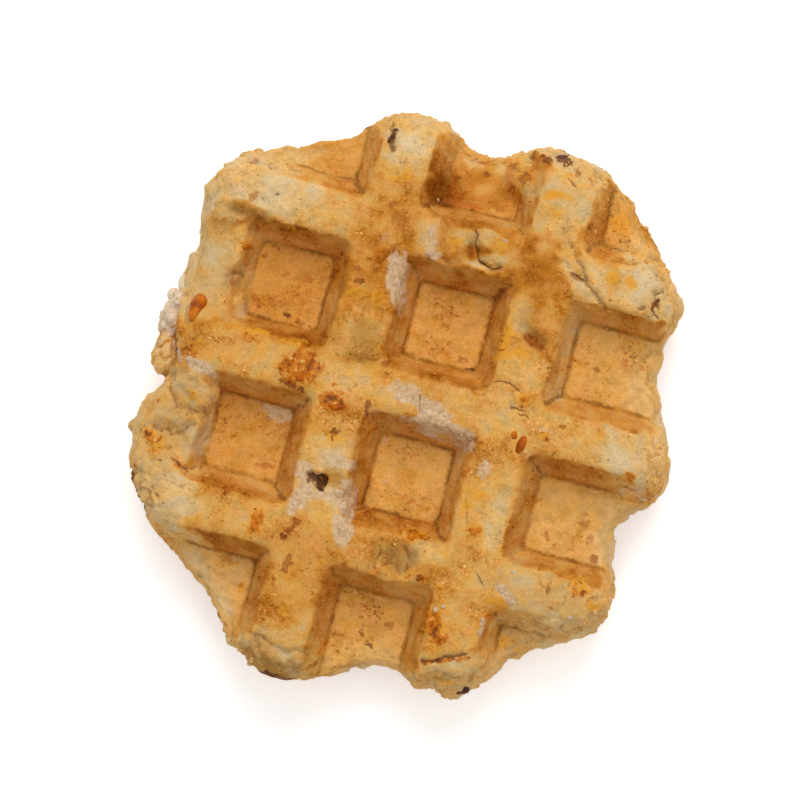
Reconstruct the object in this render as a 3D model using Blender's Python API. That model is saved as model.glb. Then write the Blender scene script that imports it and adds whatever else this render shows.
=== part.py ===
"""Liege waffle: a blob of sugar dough pressed between two hot iron plates.

Each plate's studs leave square pockets with sloping walls, and the ribs stand between them.
The dough isn't held at the sides, so the ribs end in round shoulders, the thin floor of the
outer pockets shows at the rim, and one row of cells on the left never filled.

Frame: metres, +Z up. X and Y run along the two sets of ribs. The origin is below the middle
of the waffle, on the plane of the lower ribs that it rests on.
"""

import math

import bmesh
import bpy
import numpy as np
from mathutils import Matrix, Vector

MM = 0.001

# The iron: two facing plates with the same studs.
THICKNESS = 22 * MM
FLOOR = 5 * MM  # dough between two facing pockets
POCKET_DEPTH = (THICKNESS - FLOOR) / 2
PITCH = Vector((28.8, 27.35)) * MM
STUD_TIP = Vector((13.1, 13.2)) * MM  # a pocket's floor, out to where its walls would meet it
WALL_RUN = 3.2 * MM  # how far a wall leans out over the pocket's depth
FLOOR_FILLET = 0.45 * MM
RIB_ROUND = 1.1 * MM  # radius along a rib's upper edges
CORNER_ROUND = 0.6 * MM  # radius of a pocket's upright corners
ARC_STEPS = 2
STUD_OVERRUN = 3 * MM  # how far a cutter stands out of the face
CLEAN_CUT = 0.03 * MM  # lifts the rounding's last ring off the face that it cuts
FIRST_STUD = Vector((-26.05, -38.5)) * MM  # middle of the lower left pocket
COLUMNS = 3
ROWS = 4
BEYOND = 58 * MM  # past any rim: where the cutters of open pockets end

# The dough that the plates left free.
SHOULDER = 6 * MM  # how far the rim's rounding reaches in over a rib's end
SHOULDER_STEPS = 4
RIM_SAMPLES = 144
UNFILLED_ROWS = (1, 2)
UNFILLED_DEPTH = 4.2 * MM  # how far the cells on the left stayed below the ribs
UNFILLED_EDGE = -36.2 * MM

# The rim at mid height, in mm, clockwise. It bulges at each rib's end.
OUTLINE_MM = [
    # upper ends of the upright ribs, and the slope down to the top cross rib
    (-22.6, 43.6), (-18.0, 49.0), (-10.7, 50.9), (-3.7, 49.1), (-1.8, 46.9), (4.0, 47.4),
    (10.5, 50.6), (15.0, 51.0), (20.5, 50.4), (25.9, 46.9), (32.0, 40.8),
    # right ends of the cross ribs, with a notch above and below the middle one
    (38.2, 35.0), (41.4, 28.5), (40.5, 24.6), (39.3, 20.0), (42.1, 12.0), (45.3, 4.6),
    (46.4, 0.0), (45.4, -3.5), (41.6, -7.9), (39.6, -10.2), (40.5, -16.3), (42.2, -23.4),
    (39.4, -29.2),
    # slope to the lower ends of the upright ribs, and the rim between them
    (31.3, -34.3), (27.5, -37.5), (23.1, -43.9), (17.8, -46.1), (11.5, -44.6), (5.0, -44.2),
    (-4.3, -49.3), (-9.0, -50.6), (-13.4, -50.2), (-19.2, -46.4),
    # slope to the left, then the left ends of the cross ribs and the unfilled cells
    (-27.6, -38.9), (-32.6, -35.1), (-40.3, -28.4), (-45.4, -20.0), (-46.0, -14.5),
    (-43.4, -5.8), (-43.4, 3.0), (-44.3, 12.0), (-43.4, 21.8), (-44.0, 27.0), (-39.8, 35.8),
    (-28.7, 41.1),
]

# Dough and sugar that squeezed out or swelled, as (middle, half sizes), in mm.
LUMPS_MM = {
    "crumb_lump": ((-43.6, -0.6, 12.5), (3.0, 4.4, 5.0)),
    "sugar_lump": ((-43.4, 6.2, 12.5), (3.5, 5.2, 4.6)),
    "dough_ball": ((-37.0, -5.6, 16.2), (4.1, 3.9, 4.2)),
    "pocket_bump": ((8.8, 44.2, 15.0), (3.4, 3.0, 3.4)),
    "round_swelling": ((0.2, 29.9, 19.6), (3.9, 4.3, 2.6)),
    "torn_flap": ((7.4, 31.2, 20.0), (3.6, 2.7, 2.2)),
}

# Hollows where sugar melted away or the dough tore, in mm.
HOLLOWS_MM = {
    "melted_hole": ((-11.6, -15.2, 22.0), (1.7, 1.4, 6.5)),
    "crumbled_dent": ((4.7, -25.4, 22.8), (3.3, 2.9, 2.6)),
    "torn_dent": ((17.6, 17.4, 22.8), (2.6, 1.4, 2.0)),
    "rim_hollow": ((-34.7, 13.4, 18.4), (1.5, 2.7, 2.6)),
    "flap_gap": ((5.6, 28.0, 22.4), (2.9, 0.9, 2.4)),
}


def outline_radius():
    """Radii of the rim at even angles, on a smooth closed curve through the outline."""
    points = np.array(OUTLINE_MM) * MM
    angles = np.arctan2(points[:, 1], points[:, 0])
    order = np.argsort(angles)
    angles = angles[order]
    radii = np.hypot(points[order, 0], points[order, 1])
    wrapped = np.concatenate([angles[-2:] - math.tau, angles, angles[:2] + math.tau])
    values = np.concatenate([radii[-2:], radii, radii[:2]])
    slopes = np.gradient(values, wrapped)
    even = np.arange(RIM_SAMPLES) * math.tau / RIM_SAMPLES - math.pi
    at = np.searchsorted(wrapped, even, side="right") - 1
    step = wrapped[at + 1] - wrapped[at]
    t = (even - wrapped[at]) / step
    smooth = (
        (1 + 2 * t) * (1 - t) ** 2 * values[at]
        + t * (1 - t) ** 2 * step * slopes[at]
        + t**2 * (3 - 2 * t) * values[at + 1]
        - t**2 * (1 - t) * step * slopes[at + 1]
    )
    return even, smooth


def new_object(name, mesh, collection, material=None):
    data = bpy.data.meshes.new(name)
    mesh.to_mesh(data)
    mesh.free()
    data.shade_smooth()
    data.set_sharp_from_angle(angle=math.radians(35))
    if material:
        data.materials.append(material)
    made = bpy.data.objects.new(name, data)
    collection.objects.link(made)
    return made


def bridge(mesh, rings):
    """Walls between rings of equal length, and a cap on the first and the last."""
    for lower, upper in zip(rings, rings[1:]):
        for i in range(len(lower)):
            after = (i + 1) % len(lower)
            mesh.faces.new((lower[i], lower[after], upper[after], upper[i]))
    mesh.faces.new(rings[0][::-1])
    mesh.faces.new(rings[-1])


def dough_blob(collection, material):
    """The free blob: a loft of rings whose inset follows a quarter turn above and below."""
    angles, radii = outline_radius()
    mesh = bmesh.new()
    rings = []
    for step in range(-SHOULDER_STEPS, SHOULDER_STEPS + 1):
        turn = step / SHOULDER_STEPS * math.pi / 2
        height = THICKNESS / 2 * (1 + math.sin(turn))
        reach = radii - SHOULDER * (1 - math.cos(turn))
        rings.append([
            mesh.verts.new((r * math.cos(a), r * math.sin(a), height))
            for a, r in zip(angles, reach)
        ])
    bridge(mesh, rings)
    return new_object("waffle", mesh, collection, material)


def stud_profile(depth):
    """Heights above the tip and how far the stud has widened there, from tip to root."""
    run = WALL_RUN / POCKET_DEPTH * depth
    turn = math.atan2(depth, run)  # from a level face to the wall
    profile = []
    for step in range(ARC_STEPS + 1):
        angle = turn * step / ARC_STEPS
        tangent = FLOOR_FILLET * math.tan(turn / 2)
        profile.append((
            FLOOR_FILLET * (1 - math.cos(angle)),
            FLOOR_FILLET * math.sin(angle) - tangent,
        ))
    for step in range(ARC_STEPS + 1):
        angle = turn * (1 - step / ARC_STEPS)
        tangent = RIB_ROUND * math.tan(turn / 2)
        profile.append((
            depth + CLEAN_CUT - RIB_ROUND * (1 - math.cos(angle)),
            run + tangent - RIB_ROUND * math.sin(angle),
        ))
    profile.append((depth + STUD_OVERRUN, profile[-1][1]))
    return profile


def rounded_ring(mesh, half, height):
    """The corners of a rectangle, each an arc, as one closed ring of vertices."""
    ring = []
    for quarter in range(4):
        for step in range(ARC_STEPS + 1):
            angle = math.pi / 2 * (quarter + step / ARC_STEPS)
            x = math.cos(angle) * CORNER_ROUND
            y = math.sin(angle) * CORNER_ROUND
            side = 1 if quarter in (0, 3) else -1
            end = 1 if quarter in (0, 1) else -1
            middle = (side * (half.x - CORNER_ROUND), end * (half.y - CORNER_ROUND))
            ring.append(mesh.verts.new((middle[0] + x, middle[1] + y, height)))
    return ring


def stud(name, low, high, depth, upper, collection):
    """A plate's stud, from the face down to depth, wider at its root than its tip."""
    half = (high - low) / 2
    mesh = bmesh.new()
    rings = [
        rounded_ring(mesh, half + Vector((wider, wider)), height)
        for height, wider in stud_profile(depth)
    ]
    bridge(mesh, rings)
    middle = (low + high) / 2
    if upper:
        place = Matrix.Translation((*middle, THICKNESS - depth))
    else:
        place = Matrix.Translation((*middle, depth)) @ Matrix.Rotation(math.pi, 4, "X")
    mesh.transform(place)
    return new_object(name, mesh, collection)


def plate(upper, collection):
    """All the studs of one plate. Outer pockets run out past the rim, where no dough is."""
    side = "upper" if upper else "lower"
    for column in range(COLUMNS):
        for row in range(ROWS):
            middle = FIRST_STUD + Vector((column * PITCH.x, row * PITCH.y))
            low, high = middle - STUD_TIP / 2, middle + STUD_TIP / 2
            corner = row in (0, ROWS - 1)
            if column == 0 and corner:
                low.x = -BEYOND
            if column == COLUMNS - 1:
                high.x = BEYOND
            if row == 0:
                low.y = -BEYOND
            if row == ROWS - 1:
                high.y = BEYOND
            stud(f"{side}_stud_{column}_{row}", low, high, POCKET_DEPTH, upper, collection)
    for row in UNFILLED_ROWS:
        middle_y = FIRST_STUD.y + row * PITCH.y
        low = Vector((-BEYOND, middle_y - STUD_TIP.y / 2))
        high = Vector((UNFILLED_EDGE, middle_y + STUD_TIP.y / 2))
        stud(f"{side}_unfilled_{row}", low, high, UNFILLED_DEPTH, upper, collection)


def ellipsoid(name, middle, half, collection):
    mesh = bmesh.new()
    bmesh.ops.create_uvsphere(mesh, u_segments=20, v_segments=12, radius=1)
    place = Matrix.Translation(Vector(middle) * MM)
    mesh.transform(place @ Matrix.Diagonal((*(Vector(half) * MM), 1)))
    return new_object(name, mesh, collection)


def helper_collection(name):
    """A hidden collection of shapes that only cut or join."""
    made = bpy.data.collections.new(name)
    bpy.context.scene.collection.children.link(made)
    made.hide_render = True
    return made


def boolean(target, operation, collection):
    for helper in collection.objects:
        helper.hide_render = True
        helper.display_type = "WIRE"
    modifier = target.modifiers.new(collection.name, "BOOLEAN")
    modifier.operation = operation
    modifier.operand_type = "COLLECTION"
    modifier.collection = collection
    modifier.solver = "EXACT"


def baked_dough():
    material = bpy.data.materials.new("baked_dough")
    material.use_nodes = True
    shader = material.node_tree.nodes["Principled BSDF"]
    shader.inputs["Base Color"].default_value = (0.58, 0.27, 0.08, 1)
    shader.inputs["Roughness"].default_value = 0.62
    shader.inputs["Metallic"].default_value = 0
    return material


def main():
    for old in list(bpy.data.objects):
        bpy.data.objects.remove(old)
    shown = bpy.data.collections.new("liege_waffle")
    bpy.context.scene.collection.children.link(shown)
    waffle = dough_blob(shown, baked_dough())

    studs = helper_collection("studs")
    for upper in (True, False):
        plate(upper, studs)
    boolean(waffle, "DIFFERENCE", studs)

    lumps = helper_collection("lumps")
    for name, (middle, half) in LUMPS_MM.items():
        ellipsoid(name, middle, half, lumps)
    boolean(waffle, "UNION", lumps)

    hollows = helper_collection("hollows")
    for name, (middle, half) in HOLLOWS_MM.items():
        ellipsoid(name, middle, half, hollows)
    boolean(waffle, "DIFFERENCE", hollows)
    shading = waffle.modifiers.new("flat_faces_stay_flat", "WEIGHTED_NORMAL")
    shading.keep_sharp = True


main()
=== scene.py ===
"""Liege waffle: its baked crust, pearl sugar, caramel and crumbs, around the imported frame.

The crust is a fine copy of the frame's solid. It is worked in plan millimetres, with X along
the cross ribs and Y along the upright ribs. Each mask that the working leaves on the crust
steers one thing in its finish: how far it is baked, where sugar or caramel lies, and so on.
"""

import functools
import itertools
import math

import bmesh
import bpy
import numpy as np
from mathutils import Matrix, Vector


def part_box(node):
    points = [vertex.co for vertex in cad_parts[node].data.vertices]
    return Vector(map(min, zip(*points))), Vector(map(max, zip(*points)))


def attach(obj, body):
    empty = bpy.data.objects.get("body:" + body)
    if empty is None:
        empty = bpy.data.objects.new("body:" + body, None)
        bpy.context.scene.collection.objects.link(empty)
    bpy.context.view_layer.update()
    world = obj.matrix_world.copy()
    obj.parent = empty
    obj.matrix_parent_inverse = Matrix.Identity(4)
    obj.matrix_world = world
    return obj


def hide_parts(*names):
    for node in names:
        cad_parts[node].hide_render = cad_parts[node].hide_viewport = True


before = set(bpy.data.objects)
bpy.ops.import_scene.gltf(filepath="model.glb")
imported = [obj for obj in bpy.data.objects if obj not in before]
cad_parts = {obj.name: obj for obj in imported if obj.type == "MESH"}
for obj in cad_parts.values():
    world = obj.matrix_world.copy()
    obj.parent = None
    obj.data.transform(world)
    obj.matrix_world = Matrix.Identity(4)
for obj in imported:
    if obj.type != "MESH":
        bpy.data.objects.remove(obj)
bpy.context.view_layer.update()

bl_info = {
    "name": "Liege waffle",
    "version": (1, 0, 0),
    "blender": (4, 5, 0),
    "location": "3D View > Sidebar > Waffle",
    "description": "Bakes a Liege waffle's crust and scatters its sugar, caramel and crumbs",
    "category": "Object",
}

MM = 0.001
RIB_TOP = 22.0
FLOOR_TOP = 13.5
MIDDLE = (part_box("waffle")[0][2] / MM + RIB_TOP) / 2  # mid height, between the two plates
POCKETS = tuple(itertools.product((-26.05, 2.75, 31.55), (43.55, 16.2, -11.15, -38.5)))
POCKET_FLOOR = 6.4  # half the width of a pocket at its floor
POCKET_MOUTH = 9.5  # and at the ribs' tops
NOISE_CELLS = 32  # random values along each side of the block that lumps repeat
CEILING = 22.15  # the crust swells only a little past this
SOFT_STEPS = 90  # smoothing steps where ribs melt into the rim
EDGE_STEPS = 26  # and on the ribs' edges
PIT_STEPS = 60  # and over the closed pit
PIT_TOP = 21.8
HOLE_FLOOR = 20.0
CUT_SHARE = 0.7  # how much of a crack's depth is real relief and not only shade
LAYER_GAP = 5.5  # cracks in one layer lie at least this far apart
SECTORS = 360  # in which the outline is measured

# Upright ribs at x = -11.65 and 17.15, cross ribs at y = 29.9, 2.5 and -24.8.
# Every place below is in plan millimetres, and heights are millimetres too.

# Swellings (+) and hollows (-) of the ribs' upper faces: x, y, half sizes, turn, height.
RIB_RELIEF = (
    (-31.0, 30.0, 11.0, 4.2, 0, 0.5),  # smooth left end of the top cross rib
    (-11.2, 45.5, 5.0, 4.6, 0, 0.7),
    (16.8, 41.5, 4.4, 6.0, 0, 0.5),
    (16.5, 48.2, 4.0, 2.0, 0, -0.7),
    (0.3, 29.9, 3.2, 3.5, 0, 0.7),  # round ball of dough
    (6.4, 31.8, 2.7, 1.9, -20, 0.9),  # torn flap beside it
    (10.2, 31.0, 2.6, 2.0, 10, 0.4),
    (6.5, 26.9, 2.8, 1.0, -5, 0.5),
    (-3.6, 30.2, 1.8, 3.0, 0, 0.3),
    (31.5, 30.0, 9.0, 3.9, 0, 0.5),
    (17.0, 31.0, 3.6, 3.4, 0, 0.25),
    (-11.2, 10.0, 4.2, 4.8, 0, -0.55),  # pale oval
    (15.6, 20.3, 1.9, 2.2, 0, -0.6),
    (18.2, 17.4, 2.5, 1.1, -28, -1.3),
    (-19.8, 2.6, 3.6, 3.1, 0, 0.35),  # caramelised patches
    (-12.7, -1.5, 3.5, 2.4, -8, 0.3),
    (4.6, 0.8, 8.0, 2.0, -25, -0.3),  # sugar band
    (-2.3, -25.0, 4.0, 4.0, 0, 0.9),  # swollen lump
    (4.7, -25.4, 3.2, 2.8, 0, -0.9),  # crumbled hollow
    (10.2, -24.0, 2.6, 2.8, 0, 0.5),
    (31.5, -25.5, 8.5, 3.6, 0, 0.5),
    (38.0, 0.8, 5.0, 4.0, 0, 0.4),
    (-31.0, -24.0, 9.0, 3.4, 0, 0.2),
    (-39.0, -24.0, 4.0, 4.0, 0, 0.4),
    (-11.5, -18.0, 4.6, 3.6, 0, -0.3),  # melted round the hole
    (17.5, -41.5, 4.4, 3.0, 0, -0.6),
    (-11.0, -45.0, 5.0, 2.6, 0, -0.4),
    (-38.6, 17.5, 3.6, 7.0, 5, 0.5),  # unfilled cells' rims
    (-39.2, -13.0, 4.2, 5.0, 0, 0.4),
    (-34.9, 13.6, 1.5, 2.7, -10, -0.8),
    (-36.2, 24.6, 3.0, 1.5, -10, -0.6),
)

# Open cracks, darkened with painted shade: points along each, half width, depth.
CRACKS = (
    (((-15.0, 47.2), (-14.5, 45.8), (-14.5, 44.4), (-14.1, 43.2)), 0.5, 1.6),
    (((37.1, 30.8), (36.3, 30.2), (36.5, 29.1), (37.0, 28.0)), 0.2, 1.0),
    (((36.8, 26.8), (37.6, 26.0)), 0.16, 0.6),
    (((34.6, 27.1), (35.3, 27.3)), 0.26, 0.6),
    (((22.2, 29.9), (23.4, 29.7)), 0.2, 0.8),
    (((13.3, 8.9), (14.6, 9.3), (15.9, 9.1), (17.6, 8.2)), 0.12, 0.6),
    (((17.2, 5.2), (18.6, 5.1)), 0.14, 0.5),
    (((18.9, 4.4), (20.0, 4.2)), 0.12, 0.4),
    (((1.6, 3.0), (1.9, 2.0), (2.1, 1.0)), 0.14, 0.7),
    (((13.4, -40.7), (15.5, -40.4), (17.0, -39.5), (19.8, -38.3)), 0.28, 1.1),
    (((18.9, -24.8), (19.6, -25.5)), 0.12, 0.4),
    (((-37.4, -18.3), (-36.2, -18.9), (-34.8, -19.3)), 0.26, 0.9),
    (((17.0, 45.6), (17.8, 45.0)), 0.13, 0.6),
    (((3.6, 32.6), (4.0, 30.6), (5.2, 28.6), (6.8, 27.7), (9.0, 28.1)), 0.16, 0.8),
    (((-43.6, 2.8), (-42.5, 1.4), (-41.8, -0.4)), 0.22, 1.0),
)

# Soft creases, shallow in relief and darkened with painted shade: points along each, half width,
# depth.
CREASES = (
    (((-17.0, 18.0), (-14.0, 16.0), (-11.0, 14.9), (-8.0, 15.0), (-7.0, 12.8)), 0.6, 0.4),
    (((-14.2, 6.4), (-11.0, 6.2), (-8.0, 6.9), (-6.6, 7.8)), 0.6, 0.5),
    (((-35.7, 15.6), (-34.7, 16.3), (-33.6, 15.2), (-33.0, 13.2), (-33.3, 11.8)), 0.5, 1.0),
    (((19.6, 34.9), (21.8, 32.5), (24.0, 29.9), (26.1, 27.5), (28.6, 25.3)), 0.5, 0.7),
    (((17.0, 31.8), (18.6, 31.6), (20.6, 31.0)), 0.5, 0.4),
    (((3.7, 33.4), (3.9, 31.3), (4.6, 29.3), (6.0, 27.9), (7.6, 27.5), (9.2, 28.2)), 0.7, 0.8),
    (((-2.9, 32.6), (-3.1, 30.8), (-2.8, 28.2), (-1.6, 26.7), (1.0, 26.3)), 0.5, 0.6),
    (((-42.5, -13.4), (-39.0, -13.7), (-36.4, -12.6), (-35.4, -11.2)), 0.5, 0.9),
    (((-42.8, -16.6), (-40.0, -16.9), (-38.0, -16.6)), 0.5, 0.6),
    (((-39.0, -22.6), (-36.5, -22.2), (-34.0, -22.7)), 0.6, 0.4),
    (((-41.4, -3.6), (-41.2, -6.6), (-39.3, -9.2), (-36.0, -9.9), (-33.4, -8.9)), 0.6, 1.0),
    (((-43.9, 3.3), (-42.5, 1.4), (-41.4, -1.4)), 0.7, 1.0),
    (((-12.6, 1.6), (-10.8, 1.0), (-9.9, 2.1)), 0.5, 0.4),
    (((13.0, -11.5), (14.0, -14.8), (15.4, -18.2)), 0.5, 0.4),
    (((5.6, -27.4), (4.2, -26.2), (2.6, -26.9)), 0.5, 0.5),
    (((1.4, -22.2), (1.7, -24.6), (1.2, -27.6)), 0.6, 0.9),
    (((-15.6, -44.0), (-11.0, -45.2), (-7.0, -44.6), (-5.0, -46.0)), 0.6, 0.6),
    (((22.6, -26.0), (25.8, -26.9), (26.4, -28.0)), 0.5, 0.4),
    (((11.9, -2.4), (13.6, -5.2), (13.9, -8.4)), 0.5, 0.3),
    (((41.0, 4.4), (42.4, 3.2), (43.6, 3.4)), 0.5, 0.6),
    (((38.4, -3.0), (40.6, -3.6), (42.6, -2.6)), 0.5, 0.6),
    (((29.0, 33.9), (32.6, 34.4), (36.0, 33.2)), 0.5, 0.5),
    (((18.5, 43.7), (19.3, 43.0), (19.2, 42.2), (18.9, 41.2)), 0.4, 0.4),
    (((2.6, -23.4), (3.5, -24.9), (3.0, -26.8)), 0.5, 0.6),
    (((5.6, -23.0), (6.7, -24.6), (6.3, -26.8)), 0.5, 0.6),
    (((-24.0, 7.6), (-20.0, 8.2), (-17.4, 7.4)), 0.4, 0.4),
    (((-37.6, 34.8), (-34.6, 35.6), (-32.6, 35.2)), 0.5, 0.5),
    (((-40.5, 26.6), (-37.0, 26.0), (-34.0, 26.2), (-32.0, 25.4)), 0.7, 0.5),
    (((-33.0, 29.2), (-31.4, 28.4), (-30.6, 30.0), (-29.0, 29.2)), 0.4, 0.25),
    (((28.0, -21.6), (31.0, -23.6), (30.6, -26.4)), 0.5, 0.45),
    (((34.0, -21.8), (34.6, -25.0), (33.4, -28.0)), 0.5, 0.45),
    (((14.6, -44.2), (17.4, -43.6), (20.4, -42.2)), 0.5, 0.5),
)

# Raised folds of skin: points along each, half width, height.
FOLDS = (
    (((5.2, 33.0), (5.0, 31.2), (6.0, 29.7), (8.0, 29.3)), 0.7, 0.5),
    (((-2.0, 31.6), (0.2, 32.4), (2.2, 31.6)), 0.8, 0.35),
    (((20.2, 35.2), (22.4, 32.9), (24.7, 30.2), (26.8, 27.8), (29.3, 25.0)), 0.42, 0.55),
    (((17.4, 32.6), (20.0, 32.5), (21.7, 31.5), (22.5, 30.6)), 0.4, 0.4),
    (((5.0, 28.9), (7.4, 28.4), (9.6, 29.2)), 0.5, 0.4),
    (((11.7, -30.5), (12.4, -33.5), (12.6, -36.5)), 0.5, 0.35),
    (((8.0, -41.6), (9.6, -41.3), (12.0, -43.6)), 0.5, 0.5),
    (((-41.8, -11.6), (-38.5, -11.9), (-36.0, -10.6)), 0.6, 0.4),
    (((-34.9, -20.2), (-37.5, -19.8), (-40.0, -19.9)), 0.6, 0.4),
    (((-16.4, -43.2), (-11.5, -44.3), (-6.6, -43.6)), 0.5, 0.35),
)

# How far the ribs' upper faces are baked, from 0, raw and pale, to 1, deep brown.
# x, y, half sizes, turn, tone. Later ones lie over earlier ones.
RIB_TONES = (
    (2.0, 30.0, 12.0, 5.0, 0, 0.84),
    (-12.0, 30.0, 7.0, 6.0, 0, 0.66),
    (-11.6, 21.0, 6.0, 6.5, 0, 0.78),
    (17.0, 29.5, 7.0, 8.0, 0, 0.88),
    (-19.0, 30.0, 4.0, 5.0, 0, 0.5),
    (-33.5, 30.2, 11.6, 6.2, 0, 0.1),
    (-23.4, 29.7, 1.9, 1.1, 10, 0.42),
    # Painted shade under the fold of the rib's edge.
    (-34.0, 26.4, 5.0, 1.0, -5, 0.5),
    (-11.0, 38.0, 5.5, 4.0, 0, 0.62),
    (-11.2, 46.4, 6.6, 5.6, 0, 0.04),
    (17.0, 41.4, 6.4, 5.8, 0, 0.22),
    (15.4, 42.7, 2.2, 0.7, 0, 0.62),
    (15.0, 39.4, 1.9, 1.3, 20, 0.4),
    (13.2, 48.2, 3.6, 1.5, 0, 0.85),
    (18.2, 47.8, 1.8, 1.3, 0, 0.8),
    (-3.6, 30.4, 2.0, 3.4, 0, 0.36),
    (0.4, 29.8, 2.7, 3.0, 0, 0.6),
    (1.8, 31.6, 1.4, 1.3, 0, 0.16),
    (-0.6, 28.4, 1.0, 1.8, 30, 0.7),
    (5.6, 31.9, 2.0, 1.7, 0, 0.02),
    (8.7, 31.1, 1.6, 1.5, 0, 0.62),
    (8.2, 28.9, 2.8, 0.8, 10, 0.04),
    (6.0, 27.1, 3.0, 0.8, -5, 0.0),
    (11.6, 30.5, 1.6, 2.5, 0, 0.6),
    (31.5, 30.0, 11.5, 6.4, 0, 0.14),
    (28.4, 30.9, 1.6, 2.4, 0, 0.44),
    (31.6, 31.2, 1.4, 0.8, -20, 0.42),
    (26.0, 33.5, 5.0, 1.2, 0, 0.45),
    (-11.0, 10.0, 4.4, 5.2, 0, 0.42),
    (-11.5, 2.2, 5.5, 3.6, 0, 0.42),
    (-11.5, -8.0, 5.5, 6.0, 0, 0.45),
    (-13.6, -6.2, 2.6, 2.2, 0, 0.56),
    (-11.0, -15.8, 5.6, 5.4, 0, 0.22),
    (-10.6, -20.6, 2.2, 2.4, 0, 0.4),
    (-8.9, -14.4, 2.0, 1.3, 0, 0.42),
    (-12.0, -25.6, 6.5, 4.4, 0, 0.58),
    (13.3, 15.4, 1.1, 5.0, 0, 0.7),
    (3.0, 26.3, 9.0, 0.7, 0, 0.78),
    (-11.6, -34.0, 6.5, 5.5, 0, 0.62),
    (-11.4, -38.5, 3.4, 2.0, 15, 0.62),
    (-11.4, -45.4, 7.0, 4.6, 0, 0.24),
    (15.0, 20.4, 2.0, 3.0, 0, 0.3),
    (19.6, 20.5, 2.2, 3.6, 0, 0.6),
    (16.5, 15.3, 5.0, 1.6, -8, 0.62),
    (17.0, 11.2, 6.0, 3.2, 0, 0.38),
    (16.0, 3.0, 5.0, 5.0, 0, 0.4),
    (16.8, -6.0, 5.0, 4.6, 0, 0.52),
    (15.0, -13.5, 3.4, 6.0, 0, 0.46),
    (19.6, -14.5, 2.2, 6.5, -3, 0.16),
    (16.6, -16.9, 1.7, 0.9, 15, 0.6),
    (17.0, -25.0, 6.0, 4.6, 0, 0.48),
    (17.5, -33.5, 5.2, 5.2, 0, 0.52),
    (17.5, -43.0, 7.0, 4.6, 0, 0.24),
    (-31.0, 2.8, 11.0, 4.6, 0, 0.48),
    (-41.5, 4.2, 2.2, 1.8, 0, 0.66),
    (-38.2, 2.2, 2.8, 2.4, 0, 0.62),
    (-39.6, 5.4, 1.6, 1.6, 0, 0.7),
    (-28.0, 6.4, 12.0, 0.8, 0, 0.72),
    (-29.0, 5.2, 2.4, 0.7, -10, 0.66),
    (-4.0, 0.6, 2.8, 3.0, 0, 0.44),
    (8.0, 4.2, 5.6, 2.4, -4, 0.52),
    (27.5, 2.4, 6.8, 4.4, 0, 0.4),
    (39.6, 1.0, 7.0, 6.5, 0, 0.1),
    (-24.5, -24.6, 9.0, 4.4, 0, 0.46),
    (-38.6, -23.5, 7.4, 6.2, 0, 0.12),
    (-2.4, -25.0, 4.2, 4.2, 0, 0.56),
    (4.8, -25.2, 3.2, 2.8, 0, 0.3),
    (9.4, -23.2, 3.2, 1.6, 0, 0.26),
    (31.8, -25.4, 11.0, 5.6, 0, 0.26),
    (23.6, -28.3, 1.7, 1.0, 0, 0.5),
    (-39.6, 16.5, 6.6, 8.4, 0, 0.24),
    (-34.0, 20.6, 1.0, 2.2, -10, 0.7),
    (-39.6, -12.6, 7.0, 6.2, 0, 0.2),
    (-37.0, -5.8, 4.4, 4.2, 0, 0.2),
)

# How far the pockets' floors are baked, and the rib walls beside them.
FLOOR_TONES = (
    (-26.5, 16.4, 9.0, 9.0, 0, 0.66),
    (2.3, 16.4, 9.0, 9.0, 0, 0.56),
    (31.0, 16.4, 8.6, 9.0, 0, 0.46),
    (40.0, 15.0, 4.6, 8.0, 0, 0.26),
    (-26.5, -11.0, 9.0, 9.0, 0, 0.58),
    (2.3, -11.0, 9.0, 9.0, 0, 0.48),
    (2.6, -11.2, 1.6, 1.2, 30, 0.6),
    (31.0, -11.0, 8.6, 9.0, 0, 0.42),
    (39.4, -12.0, 3.2, 7.0, 0, 0.24),
    (2.3, -37.5, 9.0, 7.0, 0, 0.5),
    (3.0, -43.4, 8.0, 2.4, 14, 0.34),
    (-24.0, 38.6, 7.5, 3.0, 12, 0.56),
    (-33.0, 37.4, 6.0, 2.2, 20, 0.2),
    (1.0, 40.0, 8.0, 6.0, 0, 0.72),
    (-2.4, 38.6, 1.6, 2.4, 0, 0.9),
    (2.6, 41.0, 1.6, 1.0, 30, 0.5),
    (5.6, 37.6, 1.8, 0.8, 0, 0.58),
    (6.0, 45.4, 2.6, 1.6, 0, 0.16),
    (-0.5, 45.2, 1.6, 1.2, 0, 0.16),
    (28.0, 41.0, 5.0, 4.6, 0, 0.5),
    (33.0, 39.4, 3.5, 4.0, 0, 0.22),
    (-25.0, -34.0, 8.0, 4.0, -30, 0.36),
    (-28.0, -38.0, 9.0, 3.0, -38, 0.14),
    (29.0, -34.0, 7.0, 4.0, 30, 0.24),
)

# How far the rim is baked, where that isn't as the rest of it.
RIM_TONES = (
    (-44.4, -1.2, 2.4, 4.4, 0, 0.5),
    (-44.0, 22.0, 4.0, 12.0, 10, 0.12),
    (-24.0, 44.0, 10.0, 4.0, 25, 0.5),
    (1.0, 47.0, 8.0, 2.0, 0, 0.5),
    (32.0, 42.0, 10.0, 4.0, -45, 0.5),
    (-12.0, -49.0, 9.0, 3.0, 0, 0.34),
    (-34.0, -36.0, 10.0, 4.0, -40, 0.4),
)
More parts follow.
